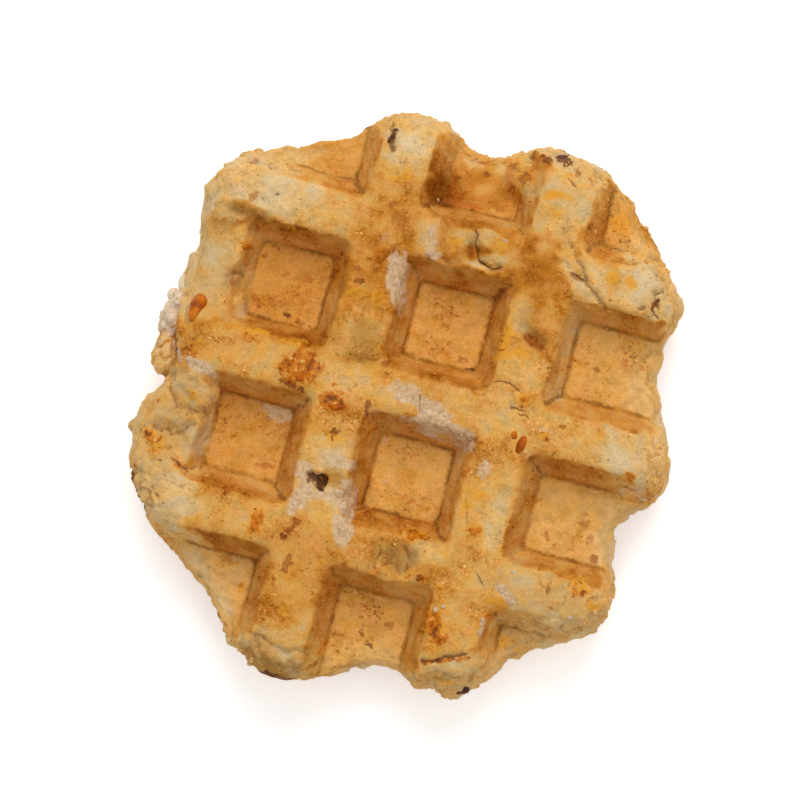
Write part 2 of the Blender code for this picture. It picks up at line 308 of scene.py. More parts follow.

# How far the pockets' walls are baked, where that isn't as their ribs are. The first one is
# painted shade.
WALL_TONES = (
    # Painted shade on the wall beside the lump, deep in the pocket.
    (-4.6, 39.6, 2.4, 4.4, 0, 0.95),
    (23.6, 16.2, 2.4, 9.0, 0, 0.38),
    (23.6, -11.0, 2.4, 9.0, 0, 0.53),
    (11.0, 16.2, 1.9, 9.0, 0, 0.6),
    (-26.0, 8.0, 9.0, 1.9, 0, 0.8),
    (-5.2, 16.2, 1.8, 9.0, 0, 0.68),
    (-5.2, -11.0, 1.8, 9.0, 0, 0.68),
    (2.6, -3.4, 9.0, 1.9, 0, 0.5),
    (2.6, -18.8, 9.0, 1.9, 0, 0.68),
    (2.6, 8.0, 9.0, 1.9, 0, 0.68),
    (11.0, -11.0, 1.9, 9.0, 0, 0.48),
    (-26.0, -29.8, 10.0, 1.8, 0, 0.8),
    (-35.6, 15.4, 4.2, 7.6, 0, 0.2),
    (-36.2, -11.0, 3.0, 8.0, 0, 0.34),
    (-33.8, -11.0, 1.0, 7.0, 0, 0.18),
)

# Greyer places, some of them painted shade in hollows and on faces turned from the light: x, y,
# half sizes, turn, how much.
DULL_AND_SHADE = (
    (-11.0, 10.2, 3.8, 4.0, 0, 0.7),
    (-8.9, -14.4, 2.2, 1.4, 0, 0.8),
    (-10.6, 6.9, 3.4, 1.2, 4, 0.95),
    (-39.6, 16.0, 6.0, 9.5, 0, 0.4),
    # Painted shade in the dimple's hollow.
    (-34.3, 13.8, 1.2, 2.4, -12, 0.9),
    (-39.5, -12.5, 6.5, 7.0, 0, 0.5),
    (31.8, -25.4, 11.0, 5.6, 0, 0.4),
    (39.0, 1.5, 6.0, 5.0, 0, 0.25),
    (-11.4, -45.4, 7.0, 4.6, 0, 0.5),
    # Painted shade on the end face, turned from the light.
    (-11.6, -48.4, 6.0, 2.4, 0, 1.0),
    # Painted shade under the fold of the rib's edge.
    (-36.0, 26.2, 5.6, 1.2, -5, 0.8),
    (2.0, 30.0, 10.0, 4.2, 0, 0.5),
    # Painted shade in the crevice beside the ball of dough.
    (3.9, 29.2, 0.9, 2.2, 10, 1.0),
    (4.8, -25.2, 3.0, 2.6, 0, 1.0),
    (17.0, 42.6, 5.6, 6.0, 0, 0.25),
    (18.0, 17.3, 2.2, 1.1, -28, 1.0),
    # Painted shade in the pocket's deep corner.
    (-3.8, 38.8, 2.4, 3.6, 0, 1.0),
    (2.0, 43.0, 1.6, 1.0, 20, 0.6),
    (31.5, 30.0, 11.5, 6.4, 0, 0.2),
    (17.5, -43.0, 7.0, 4.6, 0, 0.3),
    (15.8, 20.4, 1.8, 2.4, 0, 0.7),
    (19.6, -9.6, 1.4, 1.6, 0, 0.6),
)

# Sugar that turned to amber inside the crust: x, y, half sizes, turn, how much.
AMBER = (
    (15.5, 42.6, 2.2, 0.8, 0, 1.0),
    (15.3, 39.6, 1.4, 1.0, 20, 0.5),
    (27.0, 41.2, 1.7, 1.7, 0, 0.9),
    (24.0, 45.4, 1.5, 1.6, 0, 0.4),
    (28.4, 30.9, 1.5, 2.2, 0, 0.7),
    (32.0, 31.2, 1.3, 0.9, -20, 0.85),
    (25.4, 33.8, 2.0, 0.8, 0, 0.4),
    (8.6, 31.4, 1.3, 1.2, 0, 0.8),
    (0.2, 30.4, 1.4, 1.8, 0, 0.6),
    (-11.0, 39.4, 2.6, 1.6, 0, 0.5),
    (-42.0, 4.3, 1.5, 1.2, 0, 1.0),
    (-38.4, 2.5, 1.8, 1.5, 0, 0.5),
    (-35.0, 20.6, 1.0, 1.0, 0, 0.7),
    (-33.2, 22.6, 0.8, 1.3, 0, 0.6),
    (-34.4, 9.0, 1.2, 1.0, 0, 0.5),
    (-30.5, 6.4, 4.4, 0.6, 0, 0.7),
    (-22.4, 6.2, 3.2, 0.7, 0, 0.6),
    (-20.6, -24.4, 2.0, 2.6, 0, 0.8),
    (-31.0, -26.8, 1.4, 0.9, 0, 0.5),
    (15.4, -11.2, 1.4, 1.1, 0, 0.9),
    (14.0, -13.2, 0.9, 1.4, 0, 0.7),
    (16.0, -16.8, 1.9, 0.8, 15, 1.0),
    (9.5, -28.0, 3.0, 1.4, 8, 0.9),
    (11.4, -26.6, 1.3, 1.6, 0, 0.6),
    (6.4, -20.4, 3.6, 0.8, -3, 0.9),
    (19.2, 6.5, 1.1, 1.1, 0, 0.9),
    (24.2, 1.5, 1.4, 0.8, -15, 0.8),
    (26.8, 3.8, 1.0, 0.6, 0, 0.6),
    (39.3, -0.9, 1.0, 1.0, 0, 0.8),
    (44.3, -3.8, 0.8, 1.0, 0, 0.8),
    (36.0, -21.6, 1.7, 1.5, 20, 0.9),
    (39.0, -25.0, 0.9, 0.9, 0, 0.7),
    (23.4, -28.3, 1.8, 1.0, 0, 0.8),
    (-11.0, -7.4, 2.0, 1.4, 0, 0.6),
    (-5.6, 5.4, 1.6, 2.0, 0, 0.4),
    (13.2, 15.0, 1.4, 3.0, 0, 0.9),
    (16.2, 14.8, 2.6, 0.9, -8, 0.8),
    (-12.0, -38.6, 1.5, 1.3, 0, 0.7),
    (-5.0, -43.4, 0.9, 2.6, 0, 0.6),
    (19.0, -43.6, 1.6, 0.7, 0, 0.6),
    (14.0, -35.0, 1.5, 3.6, 12, 0.7),
    (26.0, -35.0, 1.7, 1.3, 0, 0.8),
    (-25.0, -33.0, 2.0, 1.3, 0, 0.6),
    (-20.8, -37.0, 0.9, 1.1, 0, 0.8),
    (-42.2, -15.3, 1.7, 1.1, -20, 0.9),
    (-41.0, -17.2, 1.5, 0.8, 0, 0.7),
    (-37.3, -7.2, 1.1, 1.1, 0, 0.9),
    (-11.0, 17.2, 5.0, 1.6, -8, 0.5),
)

# Caramel that boiled out: x, y, half sizes, turn, how much.
CARAMEL = (
    (-19.6, 2.6, 3.4, 3.0, 0, 1.0),
    (-12.9, -1.6, 3.3, 2.2, -10, 1.0),
    (-20.4, -24.8, 1.5, 2.6, 0, 0.8),
    (13.6, -34.4, 1.1, 3.2, 12, 0.9),
    (14.9, -36.4, 1.6, 0.9, -20, 0.8),
    (9.3, -28.0, 2.6, 1.1, 8, 0.75),
    (6.4, -20.4, 3.6, 0.65, -3, 0.85),
    (16.6, -16.9, 1.5, 0.7, 15, 0.6),
    (36.2, -22.2, 1.3, 1.9, 25, 0.6),
    (19.0, 6.4, 0.8, 1.0, -20, 0.6),
    (24.2, 1.5, 1.3, 0.8, -15, 0.5),
    (-42.0, 4.3, 1.3, 1.2, 0, 0.5),
    (-34.6, 20.6, 0.8, 0.8, 0, 0.6),
    (-42.2, -15.6, 1.7, 1.1, -20, 0.6),
    (8.6, 31.2, 1.2, 1.1, 0, 0.4),
    (27.0, 41.0, 1.6, 1.4, 0, 0.35),
    (16.8, -40.0, 3.6, 0.55, 20, 0.75),
    (-37.3, -7.0, 0.8, 0.8, 0, 0.35),
    (13.0, 15.6, 1.2, 2.0, 0, 0.35),
    (-29.6, 5.2, 1.3, 0.5, -10, 0.5),
    (-4.8, -43.0, 0.8, 2.4, 4, 0.5),
    (44.3, -3.6, 0.7, 0.9, 0, 0.6),
    (39.6, -0.8, 0.8, 0.8, 0, 0.5),
)

# Pearl sugar, baked in: x, y, half sizes, turn, how much.
SUGAR = (
    (-0.6, 2.6, 3.6, 1.9, -22, 0.9),
    (4.4, -0.2, 4.0, 2.5, -28, 1.0),
    (9.2, -1.6, 3.4, 1.8, -20, 1.0),
    (-14.4, -14.4, 2.2, 2.0, 0, 0.7),
    (-14.9, -18.8, 1.3, 2.6, -14, 0.9),
    (-11.0, -17.6, 4.4, 1.2, 0, 0.55),
    (-8.6, -11.6, 2.8, 1.0, 0, 0.5),
    (-6.2, -16.8, 1.3, 3.2, 8, 0.85),
    (-6.1, -22.6, 1.4, 2.6, 32, 0.95),
    (-11.0, -10.8, 2.4, 1.7, 0, 0.4),
    (-7.4, 21.3, 1.6, 4.6, 10, 0.75),
    (-3.6, 30.2, 2.0, 3.2, 0, 0.42),
    (3.0, -1.8, 8.0, 1.2, -3, 0.4),
    (-2.8, 27.6, 1.3, 0.9, 0, 0.6),
    (24.4, -26.4, 2.2, 0.8, -35, 0.8),
    (-36.8, -1.4, 3.0, 0.9, -8, 0.8),
    (-42.0, 0.6, 0.6, 3.0, 36, 0.6),
    (-45.4, 8.6, 2.0, 5.2, 4, 1.0),
    (-44.0, 3.6, 1.2, 1.6, 0, 0.8),
    (15.3, -6.6, 0.9, 2.5, 0, 0.5),
    (24.8, 3.1, 2.4, 0.4, 14, 0.4),
    (41.2, 1.2, 1.0, 1.6, 0, 0.3),
    (21.6, -32.6, 0.5, 1.6, 6, 0.7),
    (-10.6, 28.0, 1.2, 1.2, 0, 0.3),
)

FLOOR_SUGAR = (
    (-22.6, -5.6, 3.6, 1.3, -12, 0.6),
    (-3.0, -5.6, 0.9, 0.9, 0, 0.35),
    (-5.0, 37.6, 1.1, 1.8, 0, 0.36),
    (-1.5, -12.6, 0.8, 0.8, 0, 0.25),
)

# Dark stains and burnt spots, and marks of painted shade in cracks, hollows, pocket corners and
# the broken hole: x, y, half sizes, turn, how dark.
STAINS_AND_SHADE = (
    # These two: painted shade in cracks.
    (-14.6, 45.2, 0.4, 2.0, -8, 1.0),
    (36.6, 28.9, 0.3, 1.2, -10, 0.9),
    (-9.8, 31.8, 1.4, 2.2, 25, 0.45),
    (-13.0, 23.8, 0.7, 0.35, 0, 0.8),
    (-15.0, 21.6, 0.6, 0.4, 0, 0.6),
    (-14.0, 19.4, 0.6, 0.7, -30, 0.7),
    (-11.4, 34.0, 1.3, 0.4, 20, 0.4),
    (12.0, 48.6, 1.2, 0.8, -30, 0.8),
    (14.7, 49.2, 1.6, 0.8, 10, 0.9),
    (17.8, 47.6, 0.6, 1.0, 0, 0.6),
    (-30.8, 30.6, 0.6, 0.35, 0, 0.9),
    (-35.0, 29.2, 0.5, 1.1, -20, 0.45),
    (-37.2, 35.6, 0.9, 0.5, 25, 0.5),
    (9.0, 44.2, 0.9, 0.9, 0, 0.6),
    (-11.0, -6.8, 0.6, 0.8, -20, 0.75),
    (-12.4, -7.0, 0.8, 0.4, 0, 0.3),
    (-15.1, -26.3, 1.0, 0.7, 0, 0.8),
    (-14.4, -24.7, 0.7, 1.3, -15, 0.64),
    (-13.9, -22.9, 0.8, 0.6, 0, 0.6),
    # Painted shade in the dimple's hollow.
    (-35.3, 14.2, 0.3, 1.8, 8, 0.4),
    # Painted shade in the crevice beside the ball of dough.
    (4.0, 29.2, 0.5, 1.3, 10, 0.55),
    (-13.6, -30.6, 0.6, 1.4, -15, 0.62),
    (-15.0, -33.4, 0.3, 0.8, 30, 0.6),
    (-13.6, -39.0, 0.4, 0.9, -10, 0.35),
    (-4.0, -24.2, 0.4, 0.4, 0, 0.5),
    # Painted shade in a pocket's corner.
    (12.0, -1.9, 0.7, 0.6, 0, 0.7),
    (17.6, -1.4, 0.6, 1.6, -8, 0.35),
    (26.6, 4.1, 0.7, 0.4, 20, 0.55),
    (39.4, -1.0, 0.5, 0.5, 0, 0.4),
    (17.6, 17.5, 2.2, 0.7, -28, 0.55),
    (22.0, 17.2, 0.3, 1.2, -30, 0.4),
    (31.0, -23.4, 0.4, 1.0, 20, 0.5),
    (32.0, -26.6, 0.6, 0.3, 0, 0.6),
    (32.4, -29.6, 0.5, 0.5, 0, 0.4),
    # Painted shade along a crack.
    (22.2, 29.7, 1.4, 0.4, -10, 0.6),
    (21.2, -2.6, 0.6, 1.0, 20, 0.4),
    (43.0, 3.6, 0.6, 0.4, 0, 0.4),
    (-42.6, -24.6, 0.9, 3.4, 36, 0.9),
    (-22.6, -42.2, 1.6, 0.7, -40, 0.8),
    (-11.0, -50.2, 4.2, 0.8, -3, 0.9),
    (15.5, 50.8, 1.2, 0.6, 0, 0.9),
    (-19.9, 46.2, 0.9, 0.5, 50, 0.8),
    (-36.0, -18.8, 1.6, 0.5, -20, 0.4),
    (34.0, 35.2, 0.8, 0.3, -20, 0.3),
    # Painted shade in a pocket's corner.
    (-6.2, 7.3, 0.8, 0.5, 40, 0.55),
    (-20.4, -0.5, 2.8, 0.6, -8, 0.75),
    (-22.4, 0.9, 1.3, 0.5, -35, 0.65),
    (-18.4, 4.2, 0.8, 0.6, 0, 0.4),
    (-13.6, -2.6, 1.8, 0.4, 15, 0.5),
    # Painted shade in a pocket's corner.
    (-6.9, -0.9, 0.5, 1.0, 20, 0.7),
    # Painted shade in the broken hole's two lobes.
    (-13.3, -14.9, 1.0, 0.9, -20, 0.8),
    (-11.5, -15.6, 1.0, 1.2, -25, 1.0),
    # Painted shadow under the grey sugar nib.
    (-7.6, -15.9, 1.2, 0.3, 20, 0.35),
)

FLOOR_STAINS = (
    (-25.2, 10.9, 0.7, 0.6, -50, 0.85),
    (-22.6, 10.4, 2.0, 0.5, -6, 0.6),
    (-29.6, 22.0, 0.5, 0.4, 0, 0.6),
    (-31.2, 20.2, 0.4, 0.7, 0, 0.5),
    (-19.6, 21.8, 0.5, 0.7, 0, 0.5),
    (-31.6, 23.0, 0.5, 0.4, 0, 0.6),
    (-31.0, 12.3, 1.4, 0.5, -40, 0.5),
    (-28.4, 13.1, 0.8, 0.6, 40, 0.4),
    (-27.0, 17.8, 0.9, 0.4, 20, 0.35),
    (-23.0, 18.2, 0.5, 0.5, 0, 0.4),
    (-30.0, 22.2, 0.8, 0.5, 0, 0.4),
    (1.9, 16.3, 1.3, 0.5, 28, 0.4),
    (8.4, 9.7, 0.7, 0.5, 0, 0.85),
    (6.4, 11.2, 0.9, 0.5, 20, 0.45),
    (29.4, 15.5, 1.0, 0.5, -25, 0.5),
    (31.6, 16.0, 0.3, 0.8, -20, 0.3),
    (37.4, 17.7, 0.8, 0.8, 0, 0.25),
    (28.6, -14.8, 0.4, 1.0, 25, 0.55),
    (34.4, -11.2, 0.9, 0.8, 0, 0.4),
    (33.9, -9.4, 0.6, 0.4, 0, 0.35),
    (35.9, -13.2, 0.5, 0.5, 0, 0.35),
    (37.4, -16.4, 0.7, 1.1, 30, 0.6),
    (33.2, -14.6, 0.3, 1.0, 0, 0.3),
    (5.7, -36.7, 1.2, 0.5, 40, 0.5),
    (6.0, -37.3, 0.9, 0.4, -40, 0.4),
    (1.8, -39.5, 0.8, 0.35, -35, 0.6),
    (3.4, -41.0, 1.3, 0.35, -35, 0.7),
    (-2.4, -40.6, 1.2, 0.3, 5, 0.45),
    (0.5, -34.6, 0.8, 0.35, 10, 0.35),
    (-22.6, -15.6, 1.9, 0.45, 12, 0.4),
    (-1.8, -6.6, 0.4, 0.5, 0, 0.35),
    (1.8, 37.0, 0.6, 0.4, 0, 0.8),
    (2.4, 43.6, 0.7, 0.4, 0, 0.6),
    (-2.4, 41.6, 0.9, 0.7, 40, 0.5),
    (6.4, 38.4, 0.8, 0.5, 0, 0.35),
    (8.4, 36.8, 1.4, 0.5, 0, 0.5),
    (-3.6, 40.4, 0.6, 0.6, 0, 0.5),
    (-0.2, 37.6, 3.2, 0.8, 0, 0.35),
    (-24.6, -32.9, 1.6, 1.0, 0, 0.3),
    (-21.3, -36.6, 0.5, 0.5, 0, 0.4),
)

# The solid's plain pit, and the two broken holes that take its place.
MELTED_PIT = (-11.6, -15.2, 3.3, 2.9, 0)
MELTED_HOLE = ((-13.4, -14.8, 0.8, 0.8, -20), (-11.5, -15.6, 0.95, 1.15, -25))

# Where ribs run out into the rim, because the dough only just reached the iron.
SOFT_ENDS = (
    (-38.4, 15.5, 6.2, 9.0, 0),
    (-38.8, -12.0, 5.4, 8.0, 0),
    (3.0, 42.4, 8.8, 5.6, 0),
    (42.0, 17.5, 4.4, 10.5, 0),
    (41.5, -11.0, 4.4, 10.5, 0),
    (34.0, 38.0, 6.0, 3.4, -40),
    (-35.0, 36.6, 6.0, 2.6, 20),
    (-24.0, -40.0, 6.0, 3.4, -45),
    (-36.0, -32.0, 6.0, 3.0, -30),
    (28.0, -38.0, 7.0, 3.6, 35),
    (3.0, -43.6, 8.0, 2.4, 12),
    (3.0, 46.6, 8.0, 2.0, 0),
    (8.6, 43.6, 4.0, 3.6, 0),
    (4.7, -25.4, 4.2, 3.2, 0),
    (6.4, 30.0, 4.6, 2.6, 0),
)

# Lumps sunk in the crust: x, y, half sizes, turn, half thickness, how far each stands out.
# The ones named LOWER are on the underside.
SUGAR_NIBS = (
    (-7.2, 21.4, 1.3, 3.6, 8, 1.2, 0.12),
    (-1.6, 3.7, 1.7, 1.0, -20, 0.9, 0.2),
    (0.6, 1.9, 1.7, 1.1, -35, 0.9, 0.2),
    (3.6, 0.3, 1.6, 1.5, -10, 1.0, 0.3),
    (4.2, -2.0, 1.5, 1.1, 10, 0.8, 0.25),
    (7.0, -0.9, 1.9, 1.1, -15, 0.9, 0.2),
    (9.8, -1.9, 1.7, 1.2, -25, 0.9, 0.3),
    (-14.6, -20.0, 0.9, 1.1, -25, 0.7, 0.25),
    (-7.6, -16.6, 1.2, 1.0, 10, 0.8, 0.35),
    (-6.6, -19.2, 1.1, 1.7, 10, 0.8, 0.3),
    (-5.6, -22.8, 0.9, 1.6, 35, 0.7, 0.35),
    (-11.0, -10.8, 1.5, 1.1, 0, 0.7, 0.1),
    (-2.9, 27.4, 0.9, 0.6, 10, 0.6, 0.3),
    (-4.0, 30.8, 1.1, 1.7, 0, 0.8, 0.15),
    (23.4, -25.8, 0.9, 0.6, -30, 0.6, 0.3),
    (25.2, -27.2, 0.8, 0.6, -40, 0.5, 0.3),
    (24.7, -22.2, 0.6, 0.5, 0, 0.5, 0.3),
    (36.0, -27.3, 0.6, 0.5, 20, 0.5, 0.3),
    (13.3, -31.8, 0.55, 0.55, 0, 0.5, 0.35),
    (14.4, -31.0, 0.45, 0.45, 0, 0.4, 0.3),
    (21.5, -31.6, 0.4, 0.6, 0, 0.4, 0.3),
    (21.4, -33.7, 0.35, 0.5, 0, 0.4, 0.25),
    (15.3, -6.6, 0.8, 2.1, 0, 0.8, 0.15),
    (-36.6, -1.3, 1.4, 0.8, -10, 0.8, 0.35),
    (-38.9, -0.9, 1.0, 0.8, 20, 0.7, 0.3),
    (-34.7, -2.2, 0.8, 0.6, 0, 0.6, 0.3),
    (-44.2, 11.8, 1.1, 1.5, 20, 1.1, 0.6),
    (-45.4, 9.6, 1.1, 1.3, -5, 1.2, 0.7),
    (-44.0, 9.2, 0.9, 1.4, 15, 0.9, 0.5),
    (-45.4, 7.0, 1.2, 1.3, 30, 1.1, 0.6),
    (-44.2, 5.4, 1.0, 1.2, -20, 0.9, 0.5),
    (-45.3, 4.0, 0.8, 1.0, 10, 0.8, 0.5),
    (8.7, 32.6, 0.7, 0.45, -20, 0.4, 0.25),
    (-4.6, 36.8, 0.9, 0.8, 20, 0.7, 0.1),
    (-22.4, -5.6, 2.2, 0.9, -12, 0.8, 0.12),
)

CRUMB_LUMPS = (
    (-44.8, 1.6, 1.2, 1.5, 10, 1.0, 0.5),
    (-43.6, -0.4, 1.1, 1.6, -20, 0.9, 0.5),
    (-45.0, -0.8, 0.9, 1.2, 15, 0.9, 0.5),
    (-44.2, -3.2, 1.2, 1.6, 5, 1.0, 0.5),
    (-42.9, -2.6, 0.8, 1.3, 0, 0.8, 0.4),
    (-45.2, 3.0, 0.6, 0.7, 30, 0.6, 0.3),
    (43.2, -4.4, 0.9, 0.7, 10, 0.7, 0.3),
    (42.6, 6.2, 0.8, 1.1, 10, 0.7, 0.25),
    (-42.6, -20.6, 0.9, 0.7, 10, 0.6, 0.25),
    (38.8, -27.4, 0.8, 1.0, 10, 0.7, 0.25),
)

LOWER_CRUMBS = (
    (-30.0, -33.0, 1.2, 0.8, 10, 0.7, 0.3),
    (28.0, 36.6, 0.9, 1.1, 0, 0.7, 0.3),
    (-41.0, 12.0, 0.8, 1.0, 0, 0.6, 0.3),
)

LOWER_NIBS = (
    (2.0, 30.2, 2.2, 1.3, 20, 1.0, 0.1),
    (6.0, 31.0, 1.6, 1.1, -15, 0.9, 0.12),
    (-11.8, -8.6, 1.2, 2.2, 10, 0.9, 0.1),
    (-11.2, -13.0, 1.0, 1.3, 30, 0.8, 0.12),
    (28.6, 3.0, 1.8, 1.1, -10, 0.8, 0.1),
    (32.0, 2.4, 1.0, 0.8, 25, 0.7, 0.12),
    (-31.0, 2.0, 1.4, 0.8, 15, 0.7, 0.1),
)

CARAMEL_DROPS = (
    (-40.1, 8.2, 1.35, 2.75, -4, 1.5, 1.15),
    (-40.1, 8.8, 1.42, 2.2, 0, 1.4, 1.1),
    (20.4, -0.7, 0.95, 2.1, -12, 0.9, 0.35),
    (18.8, 0.6, 0.6, 0.8, 10, 0.5, 0.3),
    (-34.7, 20.5, 0.7, 0.6, 0, 0.5, 0.25),
    (-19.4, 1.0, 1.2, 0.7, -15, 0.6, 0.3),
    (-11.8, -2.4, 1.5, 0.6, 20, 0.5, 0.35),
    (-20.5, -26.0, 0.8, 0.6, 20, 0.5, 0.25),
)

LOWER_DROPS = (
    (-11.6, 26.6, 1.4, 0.9, 30, 0.7, 0.12),
    (18.4, 3.4, 0.9, 1.6, 0, 0.7, 0.12),
    (-27.4, -25.0, 1.3, 0.7, 10, 0.6, 0.1),
)

BURNT_DROPS = (
    (21.5, -44.2, 1.2, 1.0, 0, 1.0, 0.5),
    (20.6, -45.0, 0.7, 0.5, 20, 0.6, 0.3),
    (14.6, 49.6, 1.2, 0.6, 10, 0.6, 0.3),
)

LOWER_BURNT = (
    (-40.6, -25.0, 1.4, 2.6, 32, 0.8, 0.25),
    (-21.6, -40.6, 1.3, 0.8, -40, 0.6, 0.25),
    (-11.4, -46.4, 2.6, 0.7, -4, 0.7, 0.25),
    (15.4, 47.6, 1.2, 0.7, 0, 0.6, 0.25),
)

# The unseen lower face: pale, sugared, caramelised and scorched places of its own.
LOWER_TONES = (
    (-33.0, 24.0, 12.0, 9.0, 0, 0.3),
    (30.0, 27.0, 12.0, 9.0, 0, 0.35),
    (-12.0, -40.0, 9.0, 8.0, 0, 0.3),
    (36.0, -22.0, 9.0, 10.0, 0, 0.3),
    (-40.0, -8.0, 6.0, 9.0, 0, 0.3),
)

LOWER_CARAMEL = (
    (-11.0, 27.0, 3.2, 2.4, 20, 1.0),
    (18.0, 4.6, 2.6, 3.6, -10, 0.9),
    (-28.0, -25.4, 3.0, 1.5, 8, 0.8),
    (31.5, -26.0, 1.7, 1.3, 0, 0.7),
)

LOWER_SUGAR = (
    (4.0, 30.4, 4.4, 1.8, 8, 0.9),
    (-11.6, -10.0, 1.8, 4.0, 10, 0.8),
    (30.0, 3.0, 3.6, 1.5, -10, 0.8),
)


def display(red, green, blue):
    """A colour as it looks on a screen, from 0 to 255, as linear light."""
    parts = (channel / 255 for channel in (red, green, blue))
    return tuple(p / 12.92 if p <= 0.04045 else ((p + 0.055) / 1.055) ** 2.4 for p in parts)


# ---------------------------------------------------------------- working the dough's surface


def ease(low, high, value):
    """0 below low, 1 above high, and smooth between. low may be above high."""
    share = np.clip((value - low) / (high - low), 0, 1)
    return share * share * (3 - 2 * share)


def lumps(points, size, seed, octaves=2):
    """Smooth random values, from about -1 to 1, with lumps of the given size."""
    total = np.zeros(len(points))
    for octave in range(octaves):
        cells = np.random.default_rng(seed + octave).uniform(-1, 1, (NOISE_CELLS,) * 3)
        spots = points * (2**octave / size) + seed
        cell = np.floor(spots).astype(int)
        part = spots - cell
        part = part * part * (3 - 2 * part)
        for corner in itertools.product((0, 1), repeat=3):
            at = (cell + corner) % NOISE_CELLS
            share = np.prod(np.where(corner, part, 1 - part), axis=1)
            total += share * cells[at[:, 0], at[:, 1], at[:, 2]] / 1.6**octave
    return total


class Dough:
    """A mesh while its surface is worked, in millimetres, with a value for each vertex's masks."""

    def __init__(self, mesh):
        self.mesh = mesh
        self.count = len(mesh.vertices)
        flat = np.empty(self.count * 3, dtype=np.float32)
        mesh.vertices.foreach_get("co", flat)
        self.places = flat.reshape(-1, 3).astype(float) / MM
        pairs = np.empty(len(mesh.edges) * 2, dtype=np.int32)
        mesh.edges.foreach_get("vertices", pairs)
        self.ends = pairs.reshape(-1, 2).T
        self.degree = np.bincount(self.ends.ravel(), minlength=self.count)
        self.masks = {}
        self.ragged = lumps(self.places, 2.2, 11) + 0.5 * lumps(self.places, 0.9, 12)
        self.waver = 0.4 * np.stack([lumps(self.places, 2.0, seed, 3) for seed in (13, 14)], 1)
        self.settle()

    def settle(self):
        """Stores the places in the mesh and reads its facings again."""
        self.mesh.vertices.foreach_set("co", (self.places * MM).astype(np.float32).ravel())
        self.mesh.update()
        flat = np.empty(self.count * 3, dtype=np.float32)
        self.mesh.vertex_normals.foreach_get("vector", flat)
        self.facing = flat.reshape(-1, 3).astype(float)

    def around(self, values):
        """The mean of each vertex's neighbours."""
        first, second = self.ends
        columns = values.reshape(self.count, -1).T
        sums = [
            np.bincount(first, column[second], self.count)
            + np.bincount(second, column[first], self.count)
            for column in columns
        ]
        return (np.array(sums) / self.degree).T.reshape(values.shape)

    def blur(self, values, times):
        """The values, spread out over their neighbours."""
        for _ in range(times):
            values = (values + self.around(values)) / 2
        return values

    def smooth(self, share, times=1):
        """Moves each vertex a share of the way to the middle of its neighbours."""
        for _ in range(times):
            self.places += share * (self.around(self.places) - self.places)

    def relax(self):
        """Softens the form, and swells it again so that it keeps its size."""
        for share in (0.6, -0.62):
            self.smooth(share)

    def swell(self, amount):
        """Moves the surface out along its facing, or in where amount is negative."""
        self.places += self.facing * np.reshape(amount, (-1, 1))

    def within(self, x, y, half_x, half_y, turn=0, edge=0.45, ragged=0.3):
        """1 inside an ellipse on the plan, 0 outside, with a soft and ragged edge."""
        cosine, sine = math.cos(math.radians(turn)), math.sin(math.radians(turn))
        east, north = self.places[:, 0] - x, self.places[:, 1] - y
        across = (east * cosine + north * sine) / half_x
        along = (north * cosine - east * sine) / half_y
        reach = np.hypot(across, along) + ragged * self.ragged
        return ease(1 + edge, 1 - edge, reach)

    def beside(self, path, width):
        """1 on a path on the plan, falling away over the given half width."""
        best = np.full(self.count, 1e9)
        flat = self.places[:, :2] + self.waver
        for start, end in zip(path, path[1:]):
            start, run = np.array(start), np.array(end) - np.array(start)
            share = np.clip((flat - start) @ run / (run @ run), 0, 1)
            best = np.minimum(best, np.hypot(*(flat - start - share[:, None] * run).T))
        return np.exp(-((best / width) ** 2))


def painted(dough, base, patches):
    """A field of tones: patches laid over a base, one after another."""
    tone = base.copy()
    for *place, value in patches:
        share = dough.within(*place)
        tone += share * (value - tone)
    return tone


def dabbed(dough, dabs, edge=0.6, ragged=0.35):
    """A mask of dabs, each at its own strength. Where two meet the stronger one shows."""
    mask = np.zeros(dough.count)
    for *place, value in dabs:
        mask = np.maximum(mask, value * dough.within(*place, edge=edge, ragged=ragged))
    return mask


def stained(dough, stains, where):
    """Adds stains and marks of painted shade to two masks: the shape of each, and how dark it is.
    """
    shape = dough.masks.setdefault("stain", np.zeros(dough.count))
    dark = dough.masks.setdefault("darkness", np.full(dough.count, 0.5))
    for *place, value in stains:
        share = dough.within(*place, edge=0.8, ragged=0.3) * where
        near = share > shape
        shape[near] = share[near]
        dark[near] = value


def crack_layers():
    """The cracks, dealt out so that no two in a layer come near each other."""
    layers = []
    for crack in CRACKS:
        spots = np.array(crack[0])
        for layer in layers:
            gaps = [np.abs(spots[:, None] - np.array(other[0])).max(-1).min() for other in layer]
            if min(gaps) > LAYER_GAP:
                layer.append(crack)
                break
        else:
            layers.append([crack])
    return layers


def mark_cracks(dough):
    """Stores how far each place lies to one side of the nearest crack, in crack widths."""
    flat = dough.places[:, :2] + dough.waver
    top = ease(15.0, 16.2, dough.places[:, 2])
    for number, layer in enumerate(crack_layers()):
        side, nearest = np.full(dough.count, 9.0), np.full(dough.count, 9.0)
        for path, width, _ in layer:
            for start, end in zip(path, path[1:]):
                start, run = np.array(start), np.array(end) - np.array(start)
                length = math.hypot(*run)
                run = run / length
                ahead = (flat - start) @ run
                over = np.maximum(np.maximum(-ahead, ahead - length), 0)
                across = (flat - start) @ np.array((-run[1], run[0]))
                gap = np.hypot(across, 1.6 * over)
                closer = gap < nearest
                side[closer] = across[closer] / width
                nearest[closer] = gap[closer]
        dough.masks[f"side_{number}"] = np.clip(side, -8, 8)
        dough.masks[f"near_{number}"] = ease(1.5, 0.6, nearest) * top
    return len(crack_layers())


def outline_distance(dough):
    """How far each vertex lies inside the rim, seen from above."""
    x, y = dough.places[:, 0], dough.places[:, 1]
    sector = ((np.arctan2(y, x) / math.tau + 0.5) * SECTORS).astype(int) % SECTORS
    radius = np.hypot(x, y)
    rim = np.zeros(SECTORS)
    np.maximum.at(rim, sector, radius)
    rim = (np.roll(rim, 1) + rim + np.roll(rim, -1)) / 3
    return rim[sector] - radius


